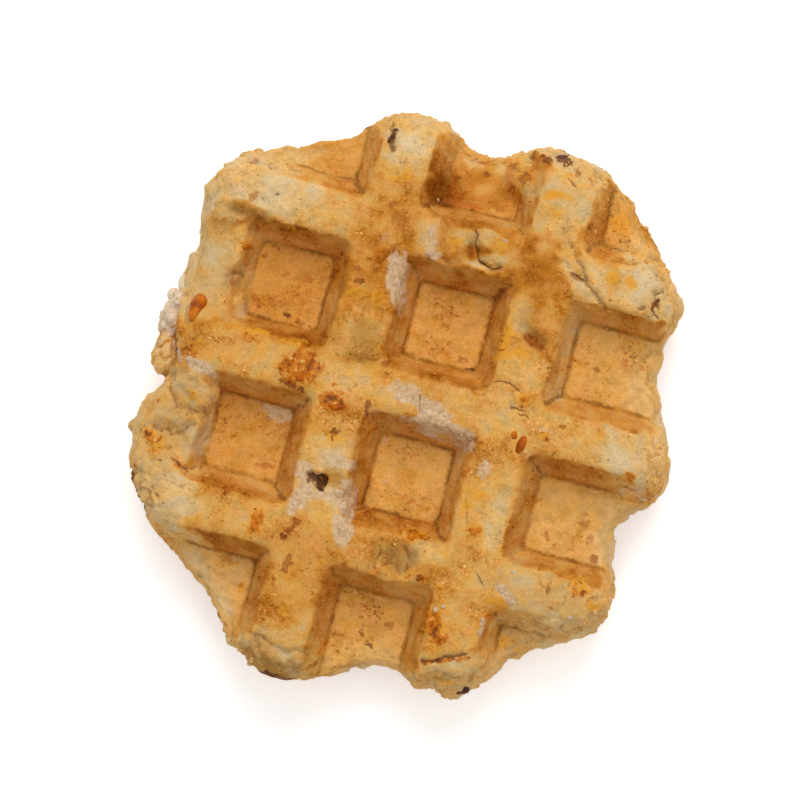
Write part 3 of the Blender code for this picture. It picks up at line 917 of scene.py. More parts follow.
def find_zones(dough):
    """Finds the parts of the form that bake unlike each other, from 0 to 1 at each vertex."""
    x, y, z = dough.places.T
    level = dough.facing[:, 2]
    dough.upper = ease(MIDDLE - 1.5, MIDDLE + 1.5, z)
    height = np.abs(z - MIDDLE)
    outward = (dough.facing[:, :2] * np.stack([x, y], 1)).sum(1) / np.hypot(x, y).clip(1)
    inside = outline_distance(dough)
    dough.rim = ease(0.25, 0.7, outward) * ease(9.0, 3.0, inside)
    dough.rim = dough.blur(np.maximum(dough.rim, ease(1.6, 0.4, inside)), 3)
    dough.floor = ease(4.4, 3.2, height) * ease(0.6, 0.9, np.abs(level))
    dough.wall = ease(0.86, 0.62, np.abs(level)) * (1 - dough.rim) * (1 - 0.85 * dough.melted)
    dough.height = height


def soften(dough):
    """Melts the ends of ribs into the rim, where the dough only just reached the iron."""
    share = np.zeros(dough.count)
    for place in SOFT_ENDS:
        share = np.maximum(share, dough.within(*place, edge=0.35, ragged=0.1))
    dough.melted = share * ease(MIDDLE + 1, MIDDLE + 3, dough.places[:, 2])
    dough.smooth(dough.melted[:, None] * 0.5, SOFT_STEPS)
    dough.settle()


def round_edges(dough):
    """Rounds the ribs' edges, which are never as crisp on dough as on the iron."""
    share = ease(6.0, 8.6, np.abs(dough.places[:, 2] - MIDDLE))
    dough.smooth(0.5 * share[:, None], EDGE_STEPS)
    dough.settle()


def close_pit(dough):
    """Fills the plain round pit, so that a more broken hole can be dug in its place."""
    pit = dough.within(*MELTED_PIT, edge=0.2, ragged=0) * (dough.places[:, 2] > MIDDLE)
    dough.places[:, 2] += pit * np.maximum(PIT_TOP - dough.places[:, 2], 0)
    dough.smooth(0.5 * pit[:, None], PIT_STEPS)
    dough.settle()


def mark_folds(dough):
    """Marks the mitred corners of the pockets, and the foot of each wall, where the finish paints
    shade.
    """
    chance = np.random.default_rng(81)
    corners = np.zeros(dough.count)
    for (x, y), side in itertools.product(POCKETS, itertools.product((-1, 1), repeat=2)):
        reaches = (POCKET_FLOOR, POCKET_MOUTH)
        ends = [(x + side[0] * reach, y + side[1] * reach) for reach in reaches]
        strength = chance.uniform(0.5, 1.1)
        corners = np.maximum(corners, strength * dough.beside(ends, 0.55))
    # Painted shade in the pockets' mitred corners.
    dough.masks["corner"] = corners * dough.blur(dough.wall, 2)
    # A band of painted shade at each wall's foot, stronger where the wall faces north.
    near = ease(0.1, 0.5, dough.blur(dough.wall, 5)) * ease(4.3, 3.0, dough.height)
    north = ease(-0.2, 0.5, dough.blur(dough.facing[:, 1], 4) * (2 * dough.upper - 1))
    dough.masks["foot"] = near * (0.6 + 0.4 * north) * (1 - dough.rim)


def bend_ribs(dough):
    """Makes the ribs' edges wander, as dough's do once it is off the iron."""
    free = 0.3 + 0.7 * ease(2.5, 9.5, np.abs(dough.places[:, 2] - MIDDLE))
    for size, amount, seed in ((9.0, 0.42, 15), (3.4, 0.26, 17), (1.7, 0.12, 19)):
        shift = [amount * lumps(dough.places, size, seed + side) for side in (0, 1)]
        dough.places[:, :2] += (free * np.array(shift)).T
    dough.settle()


def shape_upper(dough):
    """Everything that a cook would point at on the upper face, as relief."""
    top = ease(15.2, 16.6, dough.places[:, 2])
    for x, y, half_x, half_y, turn, rise in RIB_RELIEF:
        share = dough.within(x, y, half_x, half_y, turn, edge=0.6, ragged=0.12)
        dough.places[:, 2] += rise * share * top
    dough.settle()
    for path, width, depth in CRACKS:
        dough.places[:, 2] -= CUT_SHARE * depth * dough.beside(path, max(width, 0.4)) * top
    for path, width, depth in CREASES:
        dough.places[:, 2] -= CUT_SHARE * depth * dough.beside(path, 1.3 * width) * top
    # Where shade is painted along the creases.
    crease = [min(1.0, 0.5 + depth / 2) * dough.beside(path, 0.45) for path, _, depth in CREASES]
    dough.masks["crease"] = np.max(crease, axis=0) * top
    for path, width, rise in FOLDS:
        dough.places[:, 2] += rise * dough.beside(path, width) * top
    for place in MELTED_HOLE:
        share = dough.within(*place, edge=0.25, ragged=0.35) * dough.upper
        dough.places[:, 2] += share * np.minimum(HOLE_FLOOR - dough.places[:, 2], 0)
    dough.settle()


def shape_all_over(dough):
    """The unevenness of hand-shaped dough, its crumbly rim and its sugared patches."""
    free = np.maximum(dough.rim, ease(0.34, 0.14, dough.masks["tone"]) * (1 - dough.floor))
    loose = 0.3 + 0.7 * free
    dough.swell(0.36 * loose * lumps(dough.places, 7.5, 21))
    dough.swell(0.22 * loose * lumps(dough.places, 3.2, 23))
    dough.settle()
    patchy = ease(-0.5, 0.7, lumps(dough.places, 9.0, 30))
    folds = np.abs(lumps(dough.places, 6.5, 31)) - 0.4
    dough.swell((1.1 * dough.rim + 0.2 * free) * folds)
    dough.settle()
    folds = np.abs(lumps(dough.places, 2.9, 33, 3)) - 0.25
    dough.swell(patchy * (0.75 * dough.rim + 0.2 * free) * folds)
    dough.settle()
    dough.swell((0.06 * free + 0.07 * dough.rim + 0.03) * lumps(dough.places, 1.0, 35))
    sugar, caramel = dough.masks["sugar"], dough.masks["caramel"]
    dough.swell(sugar * 0.22 * (np.abs(lumps(dough.places, 1.6, 41)) - 0.2))
    dough.swell(caramel * 0.3 * (np.abs(lumps(dough.places, 1.1, 45)) - 0.1))
    dough.settle()
    height = dough.places[:, 2]
    above = np.maximum(height - CEILING, 0)
    height -= above - 0.45 * np.tanh(above / 0.45)
    np.maximum(height, 0.02, out=height)
    dough.settle()


def paint_masks(dough):
    """Bakes the surface: tone, caramel, sugar, scorch and how far each place is a wall."""
    ribs = painted(dough, np.full(dough.count, 0.58), RIB_TONES)
    floors = painted(dough, np.full(dough.count, 0.5), FLOOR_TONES)
    floor = dough.floor
    tone = ribs * (1 - floor) + floors * floor
    brink = ease(5.5, 10.0, dough.height)
    walls = painted(dough, 0.44 + 0.32 * ribs, WALL_TONES) + 0.12 * brink - 0.06
    under = painted(dough, 0.6 + 0.12 * lumps(dough.places, 12.0, 61), LOWER_TONES)
    tone = under + dough.upper * (tone - under)
    walls = 0.76 + dough.upper * (walls - 0.76)
    crust_edge = painted(dough, 0.26 + 0.12 * lumps(dough.places, 5.0, 62), RIM_TONES)
    tone += dough.rim * (crust_edge - tone)
    dough.masks["tone"] = dough.blur(tone, 2)
    dough.masks["wall_tone"] = dough.blur(walls, 2)
    # Greyer places, and painted shade in others.
    dough.masks["dull"] = dabbed(dough, DULL_AND_SHADE, 0.95, 0.45) * dough.upper
    dough.masks["amber"] = dabbed(dough, AMBER, 0.8, 0.5) * dough.upper

    on_floor = floor * dough.upper
    on_top = (1 - floor) * dough.upper
    lower = 1 - dough.upper
    dough.masks["caramel"] = (
        dabbed(dough, CARAMEL) * on_top + dabbed(dough, LOWER_CARAMEL) * lower
    )
    dough.masks["sugar"] = (
        dabbed(dough, SUGAR) * on_top
        + dabbed(dough, FLOOR_SUGAR) * on_floor
        + dabbed(dough, LOWER_SUGAR) * lower
    )
    for where, stains in ((on_top, STAINS_AND_SHADE), (on_floor, FLOOR_STAINS)):
        stained(dough, stains, where)


def paint_crevices(dough):
    """Marks where the worked surface folds in, for the painted shade there, from the mean of each
    vertex's neighbours.
    """
    bend = ((dough.around(dough.places) - dough.places) * dough.facing).sum(1)
    near = dough.blur(bend, 1)
    dough.masks["crevice"] = np.clip(near * 16 - 0.15, 0, 1)
    dough.masks["edge"] = np.clip(-dough.blur(near, 3) * 14, 0, 1)
    mark_cracks(dough)


def grain_places(dough):
    """Places for the grain to follow, in metres. They keep it even on the steep walls."""
    steep = 0.32 + 0.68 * dough.blur(dough.rim, 12)
    places = dough.places.copy()
    places[:, 2] = (np.abs(places[:, 2] - MIDDLE) - MIDDLE) * steep
    return places * MM


def store_masks(dough):
    """Stores the grain's places and every mask on the mesh, for the finish to read."""
    layer = dough.mesh.attributes.new("grain", "FLOAT_VECTOR", "POINT")
    layer.data.foreach_set("vector", grain_places(dough).astype(np.float32).ravel())
    zones = {
        "wall": dough.blur(dough.wall, 4),
        "rim": dough.rim,
        "floor": dough.floor,
        "upper": dough.upper,
    }
    for name, values in (dough.masks | zones).items():
        layer = dough.mesh.attributes.new(name, "FLOAT", "POINT")
        layer.data.foreach_set("value", values.astype(np.float32))


# ---------------------------------------------------------------- shader and node helpers


def opaque(colour):
    """A plain colour with its alpha, for a socket that wants one. Outputs stay as they are."""
    return colour if isinstance(colour, Wire) else (*colour, 1.0)


class Wire:
    """One output socket of a shader tree. Arithmetic on it adds Math nodes."""

    def __init__(self, finish, socket):
        self.finish = finish
        self.socket = socket

    def math(self, operation, first, second=0.0):
        return self.finish.node(
            "ShaderNodeMath", {"operation": operation}, {0: first, 1: second}
        )

    def __add__(self, other):
        return self.math("ADD", self, other)

    def __sub__(self, other):
        return self.math("SUBTRACT", self, other)

    def __rsub__(self, other):
        return self.math("SUBTRACT", other, self)

    def __mul__(self, other):
        return self.math("MULTIPLY", self, other)

    def __abs__(self):
        return self.math("ABSOLUTE", self)

    def most(self, other):
        """The larger of two values."""
        return self.math("MAXIMUM", self, other)

    __radd__ = __add__
    __rmul__ = __mul__


class Finish:
    """A material whose tree is built node by node around one Principled shader."""

    def __init__(self, name, grain=None, **constants):
        self.grain = grain
        self.material = bpy.data.materials.new(name)
        self.material.use_nodes = True
        self.tree = self.material.node_tree
        self.shader = self.tree.nodes["Principled BSDF"]
        for socket, value in constants.items():
            self.shader.inputs[socket.replace("_", " ")].default_value = value

    def node(self, kind, settings=None, sockets=None, output=0):
        """Adds a node, sets it up, feeds its sockets and returns one of its outputs."""
        made = self.tree.nodes.new(kind)
        for name, value in (settings or {}).items():
            if name == "stops":
                self.set_stops(made.color_ramp, value)
            else:
                setattr(made, name, value)
        for name, value in (sockets or {}).items():
            self.feed(made.inputs[name], value)
        return Wire(self, made.outputs[output])

    def feed(self, socket, value):
        """Links an output to a socket, or sets the socket to a plain value."""
        if isinstance(value, Wire):
            self.tree.links.new(value.socket, socket)
        else:
            socket.default_value = value

    def set_stops(self, ramp, stops):
        """Gives a ramp its stops, each a position and a colour."""
        while len(ramp.elements) < len(stops):
            ramp.elements.new(0.5)
        for element, (position, colour) in zip(ramp.elements, stops):
            element.position = position
            element.color = (*colour, 1)

    def mask(self, name):
        """A value that the working left on the mesh."""
        return self.node("ShaderNodeAttribute", {"attribute_name": name}, output="Fac")

    def place(self):
        return self.node("ShaderNodeTexCoord", output="Object")

    def grain_place(self):
        """The places that patterns follow: the stored ones, where the piece has them."""
        if self.grain is None:
            return self.place()
        return self.node("ShaderNodeAttribute", {"attribute_name": self.grain}, output="Vector")

    def noise(self, size_mm, detail=2.0, shift=0.0):
        """Noise from 0 to 1 with lumps of about the given size."""
        where = self.node(
            "ShaderNodeMapping",
            None,
            {
                "Vector": self.grain_place(),
                "Location": (shift,) * 3,
                "Scale": (1 / (size_mm * MM),) * 3,
            },
        )
        return self.node(
            "ShaderNodeTexNoise", None, {"Vector": where, "Scale": 1.0, "Detail": detail}
        )

    def cells(self, size_mm, feature, output):
        """Grains packed side by side: each one's own colour, or how far its edge is."""
        where = self.node(
            "ShaderNodeVectorMath",
            {"operation": "SCALE"},
            {0: self.grain_place(), "Scale": 1 / (size_mm * MM)},
        )
        return self.node(
            "ShaderNodeTexVoronoi", {"feature": feature}, {"Vector": where, "Scale": 1.0}, output
        )

    def shaded(self, colour, amount):
        """The colour made evenly lighter or darker, as a screen shows it."""
        screen = self.node("ShaderNodeGamma", None, {"Color": colour, "Gamma": 1 / 2.2})
        moved = self.node("ShaderNodeVectorMath", {"operation": "ADD"}, {0: screen, 1: amount})
        kept = self.node(
            "ShaderNodeVectorMath", {"operation": "MAXIMUM"}, {0: moved, 1: (0.01, 0.01, 0.01)}
        )
        return self.node("ShaderNodeGamma", None, {"Color": kept, "Gamma": 2.2})

    def ramp(self, share, *stops):
        """A colour from a ramp. Each stop is a position and a colour."""
        stops = [(position, tuple(colour)) for position, colour in stops]
        return self.node("ShaderNodeValToRGB", {"stops": stops}, {"Fac": share})

    def step(self, value, low, high):
        """0 below low, 1 above high, smooth between."""
        return self.node(
            "ShaderNodeMapRange",
            {"interpolation_type": "SMOOTHSTEP"},
            {"Value": value, "From Min": low, "From Max": high},
        )

    def mix(self, share, first, second, blend="MIX"):
        """The first colour with a share of the second over it."""
        return self.node(
            "ShaderNodeMix",
            {"data_type": "RGBA", "blend_type": blend},
            {"Factor": share, 6: opaque(first), 7: opaque(second)},
            output=2,
        )

    def finish(self, colour, roughness=None, relief=None):
        """Feeds the shader. The relief is a height in millimetres."""
        self.feed(self.shader.inputs["Base Color"], colour)
        if roughness is not None:
            self.feed(self.shader.inputs["Roughness"], roughness)
        if relief is not None:
            bump = self.node("ShaderNodeBump", None, {"Height": relief, "Distance": MM})
            self.feed(self.shader.inputs["Normal"], bump)
        return self.material


def sugary(finish, look, size_mm):
    """Half-melted sugar: cloudy grains side by side, painted shade in the gaps between them, and
    whiter ones on the rim at the left.
    """
    cloud = finish.cells(size_mm, "F1", "Color")
    crystals = finish.noise(0.7, 5.0, shift=2.2)
    share = finish.step(crystals + cloud * 0.16, 0.28, 0.84)
    chalk = finish.mix(share, look.sugar_grey, look.sugar)
    # Painted shade along the edges between grains.
    seam = finish.step(finish.cells(size_mm, "DISTANCE_TO_EDGE", "Distance"), 0.1, 0.0)
    chalk = finish.mix(seam * 0.1, chalk, look.sugar_gap_shade)
    left = finish.node("ShaderNodeSeparateXYZ", None, {0: finish.place()}, "X")
    return finish.mix(finish.step(left, -42 * MM, -44 * MM) * 0.5, chalk, look.white)


def syrupy(finish, look):
    """Caramel: nearly black where it burnt, amber where it is thin, with glints that are painted
    highlights.
    """
    return finish.ramp(
        finish.noise(1.2, 5.0, shift=7.7),
        (0.36, look.caramel_dark),
        (0.43, look.caramel),
        (0.53, look.caramel_light),
        (0.6, look.caramel_light),
        # Painted highlights on the caramel.
        (0.66, look.glint_highlight),
    )


class Crust(Finish):
    """The crust's finish, with the patterns and masks that several of its layers share."""

    def __init__(self, name, look, **constants):
        super().__init__(name, "grain", **constants)
        self.look = look
        self.blotch = self.noise(6.0, 2.0, shift=3.1) - 0.5
        self.mottle = self.noise(2.2, 1.5) - 0.5
        self.sandy = self.noise(0.8, 2.0, shift=2.9) - 0.5
        self.grainy = self.noise(0.26, 2.0, shift=1.7) - 0.5
        self.ragged = self.noise(0.8, 4.0, shift=4.4) - 0.5
        self.rib = 1 - self.mask("floor")
        self.foot = self.mask("foot")
        edge = self.mask("wall") + self.mottle * 0.7 + self.sandy * 0.4
        self.wall = self.step(edge, 0.24, 0.72)
        flat = self.mask("tone")
        self.tone = flat + (self.mask("wall_tone") - flat) * self.wall
        self.baked = self.step(self.tone, 0.2, 0.5)
        self.pale = 1 - self.baked
        patch = self.step(self.blotch + self.mottle * 0.5, 0.0, 0.14) * self.baked * self.rib
        self.patch = patch
        wrinkle = self.step(abs(self.noise(2.0, 5.0, shift=21.0) - 0.5), 0.045, 0.0)
        self.wrinkle = wrinkle * patch * (1 - self.wall)

    def dough(self):
        """The baked dough: raw to brown by its tone, tinted, duller in places, darker with painted
        shade at the walls' feet and in wrinkles, and lighter with painted highlights.
        """
        look, blotch, mottle, sandy = self.look, self.blotch, self.mottle, self.sandy
        level = (
            self.tone
            + blotch * (self.rib * 0.5 + 0.3)
            + mottle * (self.rib * 0.5 + 0.4) * (self.baked * 0.4 + 0.6)
            + sandy * 0.1
            + self.wall * blotch * 0.2
            + self.mask("edge") * (mottle * 1.5 + 0.25) * (1 - self.mask("rim"))
        )
        colour = self.ramp(
            level,
            (0.0, look.raw),
            (0.22, look.pale),
            (0.42, look.golden),
            (0.62, look.toasted),
            (0.8, look.brown),
            (1.0, look.deep),
        )
        hue = self.ramp(
            self.noise(2.6, 2.0, shift=11.3),
            (0.34, look.cool),
            (0.5, look.plain),
            (0.66, look.rich),
        )
        colour = self.mix(self.baked * 0.6 + 0.25, colour, hue, "MULTIPLY")
        # Greys the colour: a duller tone in some places, painted shade in others.
        dull = self.step(self.mask("dull") + mottle * 0.9 + sandy * 0.4, 0.05, 1.15)
        colour = self.mix(dull, colour, look.dull, "MULTIPLY")

        lively = blotch * 1.6 + 1.0 - self.wall * 0.3
        speckle = (self.grainy * 0.22 + sandy * 0.16 + mottle * 0.3) * lively
        pits = self.step(self.noise(0.75, 2.5, shift=5.2) + blotch * 0.4, 0.62, 0.8)
        # Painted highlights: small light dots on the browned rib tops.
        sparkle_highlight = self.step(self.noise(0.6, 1.0, shift=17.3), 0.66, 0.76) * self.patch
        # The walls' feet are darkened here too: painted shade.
        shade = speckle - pits * self.baked * 0.14 - self.foot * (sandy * 0.3 + 0.06)
        # The wrinkles' darkening is painted shade in their folds.
        return self.shaded(colour, shade - self.wrinkle * 0.06 + sparkle_highlight * 0.25)

    def spotted(self, colour):
        """Small things in the dough: ambered sugar, pores, warm spots, flecks and dots."""
        look, blotch, baked, pale = self.look, self.blotch, self.baked, self.pale
        spread = self.mask("amber") + self.mottle * 1.2 + self.sandy * 1.2
        amber = self.step(spread, 0.15, 0.85)
        pores = self.step(self.noise(0.9, 3.0, shift=8.3), 0.6, 0.72) * pale
        warm = self.step(self.noise(3.4, 4.0, shift=9.7), 0.56, 0.7) * pale
        flecks = self.step(self.noise(1.1, 4.0, shift=6.1) + blotch * 0.3, 0.6, 0.74) * baked
        dots = self.step(self.noise(0.7, 1.0, shift=15.6) + blotch * 0.6, 0.72, 0.8)
        for share, paint in (
            (amber * 0.8, look.amber),
            (pores * 0.4, look.pore),
            (warm * 0.16, look.warm),
            (flecks * 0.65, look.rusty),
            (dots * 0.6, look.scorch),
        ):
            colour = self.mix(share, colour, paint)
        return colour

    def seam(self):
        """Painted shade: broken dark seams where floors meet walls and where walls meet each
        other, and a soft band at each wall's foot.
        """
        mottle, sandy = self.mottle, self.sandy
        height = self.node("ShaderNodeSeparateXYZ", None, {0: self.place()}, "Z") * (1 / MM)
        rise = abs(height - MIDDLE) - (FLOOR_TOP - MIDDLE) + sandy * 1.2
        seam = self.step(rise, -0.05, 0.3) * self.step(rise, 1.7, 0.4)
        broken = self.step(self.noise(4.5, 5.0, shift=12.9), 0.38, 0.66)
        seam = seam * self.step(self.mask("wall"), 0.05, 0.3)
        spread = self.foot + (broken - 0.6) * 0.9 + mottle * 0.8 + sandy * 1.2
        # Painted shade at the walls' feet.
        foot_shade = self.step(spread, 0.62, 1.15)
        seam = (seam * (broken * 0.85 + 0.15)).most(foot_shade * 0.8)
        return seam.most(self.step(self.mask("corner") + mottle * 1.1 + sandy * 1.2, 0.35, 1.0))

    def crack(self, layers):
        """Thin, wavering, here and there closed cracks, where shade is painted."""
        wobble = self.grainy * 1.0 + self.ragged * 1.8
        lines = [
            self.step(abs(self.mask(f"side_{number}") + wobble), 1.1, 0.2)
            * self.mask(f"near_{number}")
            for number in range(layers)
        ]
        crack = functools.reduce(Wire.most, lines)
        return crack * self.step(self.noise(1.6, 2.0, shift=14.2), 0.3, 0.5)


def crust_finish(look, crack_count):
    """Baked dough: tones from raw to brown, grain, flecks, pores, sugar, caramel and scorch."""
    crust = Crust("baked_crust", look, Specular_IOR_Level=0.09)
    mottle, sandy, ragged = crust.mottle, crust.sandy, crust.ragged
    colour = crust.spotted(crust.dough())
    # Painted shade along the seams, the corners and the walls' feet.
    colour = crust.mix(crust.seam() * 0.68, colour, look.crevice)
    # Painted shade in the crevices where the surface folds in.
    crevice = crust.step(crust.mask("crevice") + sandy * 0.6, 0.3, 1.1)
    colour = crust.mix(crevice * 0.4, colour, look.crevice)
    # Painted shade along the soft creases.
    crease = crust.step(crust.mask("crease") + ragged * 1.4 + mottle * 0.8, 0.4, 1.1)
    colour = crust.mix(crease * 0.5, colour, look.crevice)

    sugar = crust.step(crust.mask("sugar") + ragged * 0.9 + mottle * 0.5, 0.18, 0.6)
    colour = crust.mix(sugar * 0.85, colour, sugary(crust, look, 1.7))
    # Stains and burnt spots, and marks of painted shade.
    stain = crust.step(crust.mask("stain") + ragged * 2.0 + sandy * 1.1, 0.34, 0.72)
    dark = crust.mask("darkness")
    burn = crust.ramp(
        dark + sandy * 1.4, (0.3, look.rusty), (0.75, look.scorch), (1.0, look.char)
    )
    colour = crust.mix(stain * (dark * 0.65 + 0.25), colour, burn)
    caramel = crust.step(crust.mask("caramel") + ragged * 1.6 + mottle * 0.9, 0.34, 0.62)
    colour = crust.mix(caramel * 0.85, colour, syrupy(crust, look))
    crack = crust.crack(crack_count)
    # Painted shade in the cracks.
    colour = crust.mix(crack * 0.75, colour, look.crack)

    grainy = crust.grainy
    roughness = 0.74 - caramel * 0.56 - sugar * 0.2 + grainy * 0.1
    relief = mottle * 0.4 + sandy * 0.13 + grainy * 0.05
    relief = relief * (1.2 - crust.rib * 0.2 + crust.pale * 0.2)
    relief = relief + caramel * ragged * 0.5 - crack * 0.12 - crust.wrinkle * 0.06
    return crust.finish(colour, roughness, relief)


def sugar_finish(look):
    """Pearl sugar: cloudy, faintly lit through and uneven."""
    sugar = Finish(
        "pearl_sugar",
        Subsurface_Weight=0.4,
        Subsurface_Scale=0.0012,
        Subsurface_Radius=(1.0, 0.8, 0.6),
        Specular_IOR_Level=0.3,
    )
    roughness = sugar.noise(0.8, 2.0, shift=2.0) * 0.4 + 0.3
    relief = (sugar.noise(0.7, 4.0, shift=2.2) - 0.5) * 0.2
    return sugar.finish(sugary(sugar, look, 1.3), roughness, relief)


def caramel_finish(look):
    """Drops of caramel: amber, darker here and there, smooth but not glassy."""
    caramel = Finish(
        "caramel",
        Subsurface_Weight=0.15,
        Subsurface_Scale=0.001,
        Subsurface_Radius=(1.0, 0.5, 0.15),
        Specular_IOR_Level=0.12,
    )
    colour = caramel.ramp(
        caramel.noise(2.2, 2.0, shift=7.7),
        (0.2, look.caramel_dark),
        (0.42, look.caramel),
        (0.7, look.caramel_light),
    )
    roughness = caramel.noise(0.9, 2.0, shift=3.0) * 0.35 + 0.2
    relief = (caramel.noise(0.9, 3.0, shift=5.0) - 0.5) * 0.12
    return caramel.finish(colour, roughness, relief)


def crumb_finish(look):
    """Loose crumb, from raw dough to brown."""
    crumb = Finish("crumb", Roughness=0.75, Subsurface_Weight=0.1, Subsurface_Scale=0.001)
    colour = crumb.ramp(
        crumb.noise(1.5, 3.0),
        (0.3, look.raw),
        (0.46, look.pale),
        (0.6, look.golden),
        (0.75, look.brown),
    )
    return crumb.finish(colour, relief=crumb.noise(0.4, 3.0) * 0.1)


def burnt_finish(look):
    """Drops that burnt nearly black on the iron."""
    burnt = Finish("burnt_crumb", Specular_IOR_Level=0.35)
    colour = burnt.ramp(burnt.noise(1.0, 3.0), (0.35, look.char), (0.6, look.scorch))
    return burnt.finish(colour, burnt.noise(0.8, 2.0) * 0.4 + 0.3, burnt.noise(0.5) * 0.12)


def table_finish(look):
    """White, and faintly lit through, so that only contact shadows show on it."""
    table = Finish("white_table", Roughness=0.9, Specular_IOR_Level=0.1)
    table.shader.inputs["Emission Strength"].default_value = 0.35
    greyer = [0.99 * part for part in look.table]
    shade = table.ramp(table.noise(60.0), (0.0, greyer), (1.0, look.table))
    table.feed(table.shader.inputs["Emission Color"], shade)
    return table.finish(shade)


# ---------------------------------------------------------------- Geometry Nodes


def scatter_tree(name, mask, flatness):
    """Irregular grains, scattered over a surface where one of its masks allows them."""
    tree = bpy.data.node_groups.new(name, "GeometryNodeTree")
    panel = tree.interface
    panel.new_socket("Geometry", in_out="INPUT", socket_type="NodeSocketGeometry")
    for label, kind in (
        ("Grains per square mm", "NodeSocketFloat"),
        ("Least size", "NodeSocketFloat"),
        ("Largest size", "NodeSocketFloat"),
        ("Least mask", "NodeSocketFloat"),
        ("Seed", "NodeSocketInt"),
        ("Finish", "NodeSocketMaterial"),
    ):
        panel.new_socket(label, in_out="INPUT", socket_type=kind)
    panel.new_socket("Geometry", in_out="OUTPUT", socket_type="NodeSocketGeometry")

    def node(kind, settings=None, sockets=None):
        made = tree.nodes.new(kind)
        for key, value in (settings or {}).items():
            setattr(made, key, value)
        for key, value in (sockets or {}).items():
            if isinstance(value, bpy.types.NodeSocket):
                tree.links.new(value, made.inputs[key])
            else:
                made.inputs[key].default_value = value
        return made

    given = node("NodeGroupInput").outputs
    place = node("GeometryNodeInputNamedAttribute", {"data_type": "FLOAT"}, {"Name": mask})
    share = node(
        "ShaderNodeMapRange",
        None,
        {
            "Value": place.outputs["Attribute"],
            "From Min": given["Least mask"],
            "From Max": 1.0,
        },
    )
    per_metre = node(
        "ShaderNodeMath",
        {"operation": "MULTIPLY"},
        {0: given["Grains per square mm"], 1: 1 / MM**2},
    )
    density = node(
        "ShaderNodeMath",
        {"operation": "MULTIPLY"},
        {0: per_metre.outputs[0], 1: share.outputs["Result"]},
    )
    spots = node(
        "GeometryNodeDistributePointsOnFaces",
        {"distribute_method": "RANDOM"},
        {"Mesh": given["Geometry"], "Density": density.outputs[0], "Seed": given["Seed"]},
    )
    grain = node("GeometryNodeMeshIcoSphere", None, {"Radius": 0.5, "Subdivisions": 2})
    size = node(
        "FunctionNodeRandomValue",
        {"data_type": "FLOAT"},
        {2: given["Least size"], 3: given["Largest size"], "Seed": given["Seed"]},
    )
    squash = node(
        "FunctionNodeRandomValue",
        {"data_type": "FLOAT_VECTOR"},
        {0: (0.6, 0.6, flatness), 1: (1.3, 1.1, flatness + 0.35), "Seed": 7},
    )
    scale = node(
        "ShaderNodeVectorMath",
        {"operation": "SCALE"},
        {0: squash.outputs[0], "Scale": size.outputs[1]},
    )
    spin = node(
        "FunctionNodeRandomValue",
        {"data_type": "FLOAT_VECTOR"},
        {0: (-0.5, -0.5, 0.0), 1: (0.5, 0.5, math.tau), "Seed": 5},
    )
    turned = node(
        "FunctionNodeRotateRotation",
        {"rotation_space": "LOCAL"},
        {"Rotation": spots.outputs["Rotation"], "Rotate By": spin.outputs[0]},
    )
    placed = node(
        "GeometryNodeInstanceOnPoints",
        None,
        {
            "Points": spots.outputs["Points"],
            "Instance": grain.outputs["Mesh"],
            "Rotation": turned.outputs[0],
            "Scale": scale.outputs[0],
        },
    )
    real = node("GeometryNodeRealizeInstances", None, {"Geometry": placed.outputs[0]})
    wobble = node(
        "ShaderNodeTexNoise", None, {"Scale": 1 / (0.5 * MM), "Detail": 1.0}
    )
    centred = node(
        "ShaderNodeVectorMath",
        {"operation": "SUBTRACT"},
        {0: wobble.outputs["Color"], 1: (0.5, 0.5, 0.5)},
    )
    push = node(
        "ShaderNodeVectorMath",
        {"operation": "SCALE"},
        {0: centred.outputs[0], "Scale": 0.22 * MM},
    )
    rough = node(
        "GeometryNodeSetPosition",
        None,
        {"Geometry": real.outputs[0], "Offset": push.outputs[0]},
    )
    coloured = node(
        "GeometryNodeSetMaterial",
        None,
        {"Geometry": rough.outputs[0], "Material": given["Finish"]},
    )
    out = node("NodeGroupOutput")
    tree.links.new(coloured.outputs[0], out.inputs[0])
    return tree


def grown(name, surface, tree, values):
    """Runs a tree on a copy of a surface and keeps the plain mesh that it makes."""
    host = bpy.data.objects.new(name + "_host", surface.data.copy())
    bpy.context.scene.collection.objects.link(host)
    modifier = host.modifiers.new(name, "NODES")
    modifier.node_group = tree
    keys = {item.name: item.identifier for item in tree.interface.items_tree}
    for label, value in values.items():
        modifier[keys[label]] = value
    mesh = plain_mesh(host, name)
    bpy.data.objects.remove(host)
    return shown(name, mesh)


def plain_mesh(source, name):
    """The mesh of an object as its modifiers leave it."""
    graph = bpy.context.evaluated_depsgraph_get()
    mesh = bpy.data.meshes.new_from_object(source.evaluated_get(graph))
    mesh.name = name
    return mesh


def shown(name, mesh):
    """Puts a mesh in the scene as an object of its own."""
    mesh.name = name
    made = bpy.data.objects.new(name, mesh)
    bpy.context.scene.collection.objects.link(made)
    return made


# ---------------------------------------------------------------- the pieces


def fine_copy(voxel):
    """A fine, even mesh of the frame's solid."""
    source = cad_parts["waffle"]
    mesh = source.data.copy()
    work = bmesh.new()
    work.from_mesh(mesh)
    bmesh.ops.remove_doubles(work, verts=work.verts, dist=0.01 * MM)
    work.to_mesh(mesh)
    work.free()
    mesh.materials.clear()
    coarse = shown("coarse", mesh)
    remesh = coarse.modifiers.new("even", "REMESH")
    remesh.mode = "VOXEL"
    remesh.voxel_size = voxel
    snap = coarse.modifiers.new("snap", "SHRINKWRAP")
    snap.target = source
    made = plain_mesh(coarse, "crust")
    bpy.data.objects.remove(coarse)
    return made


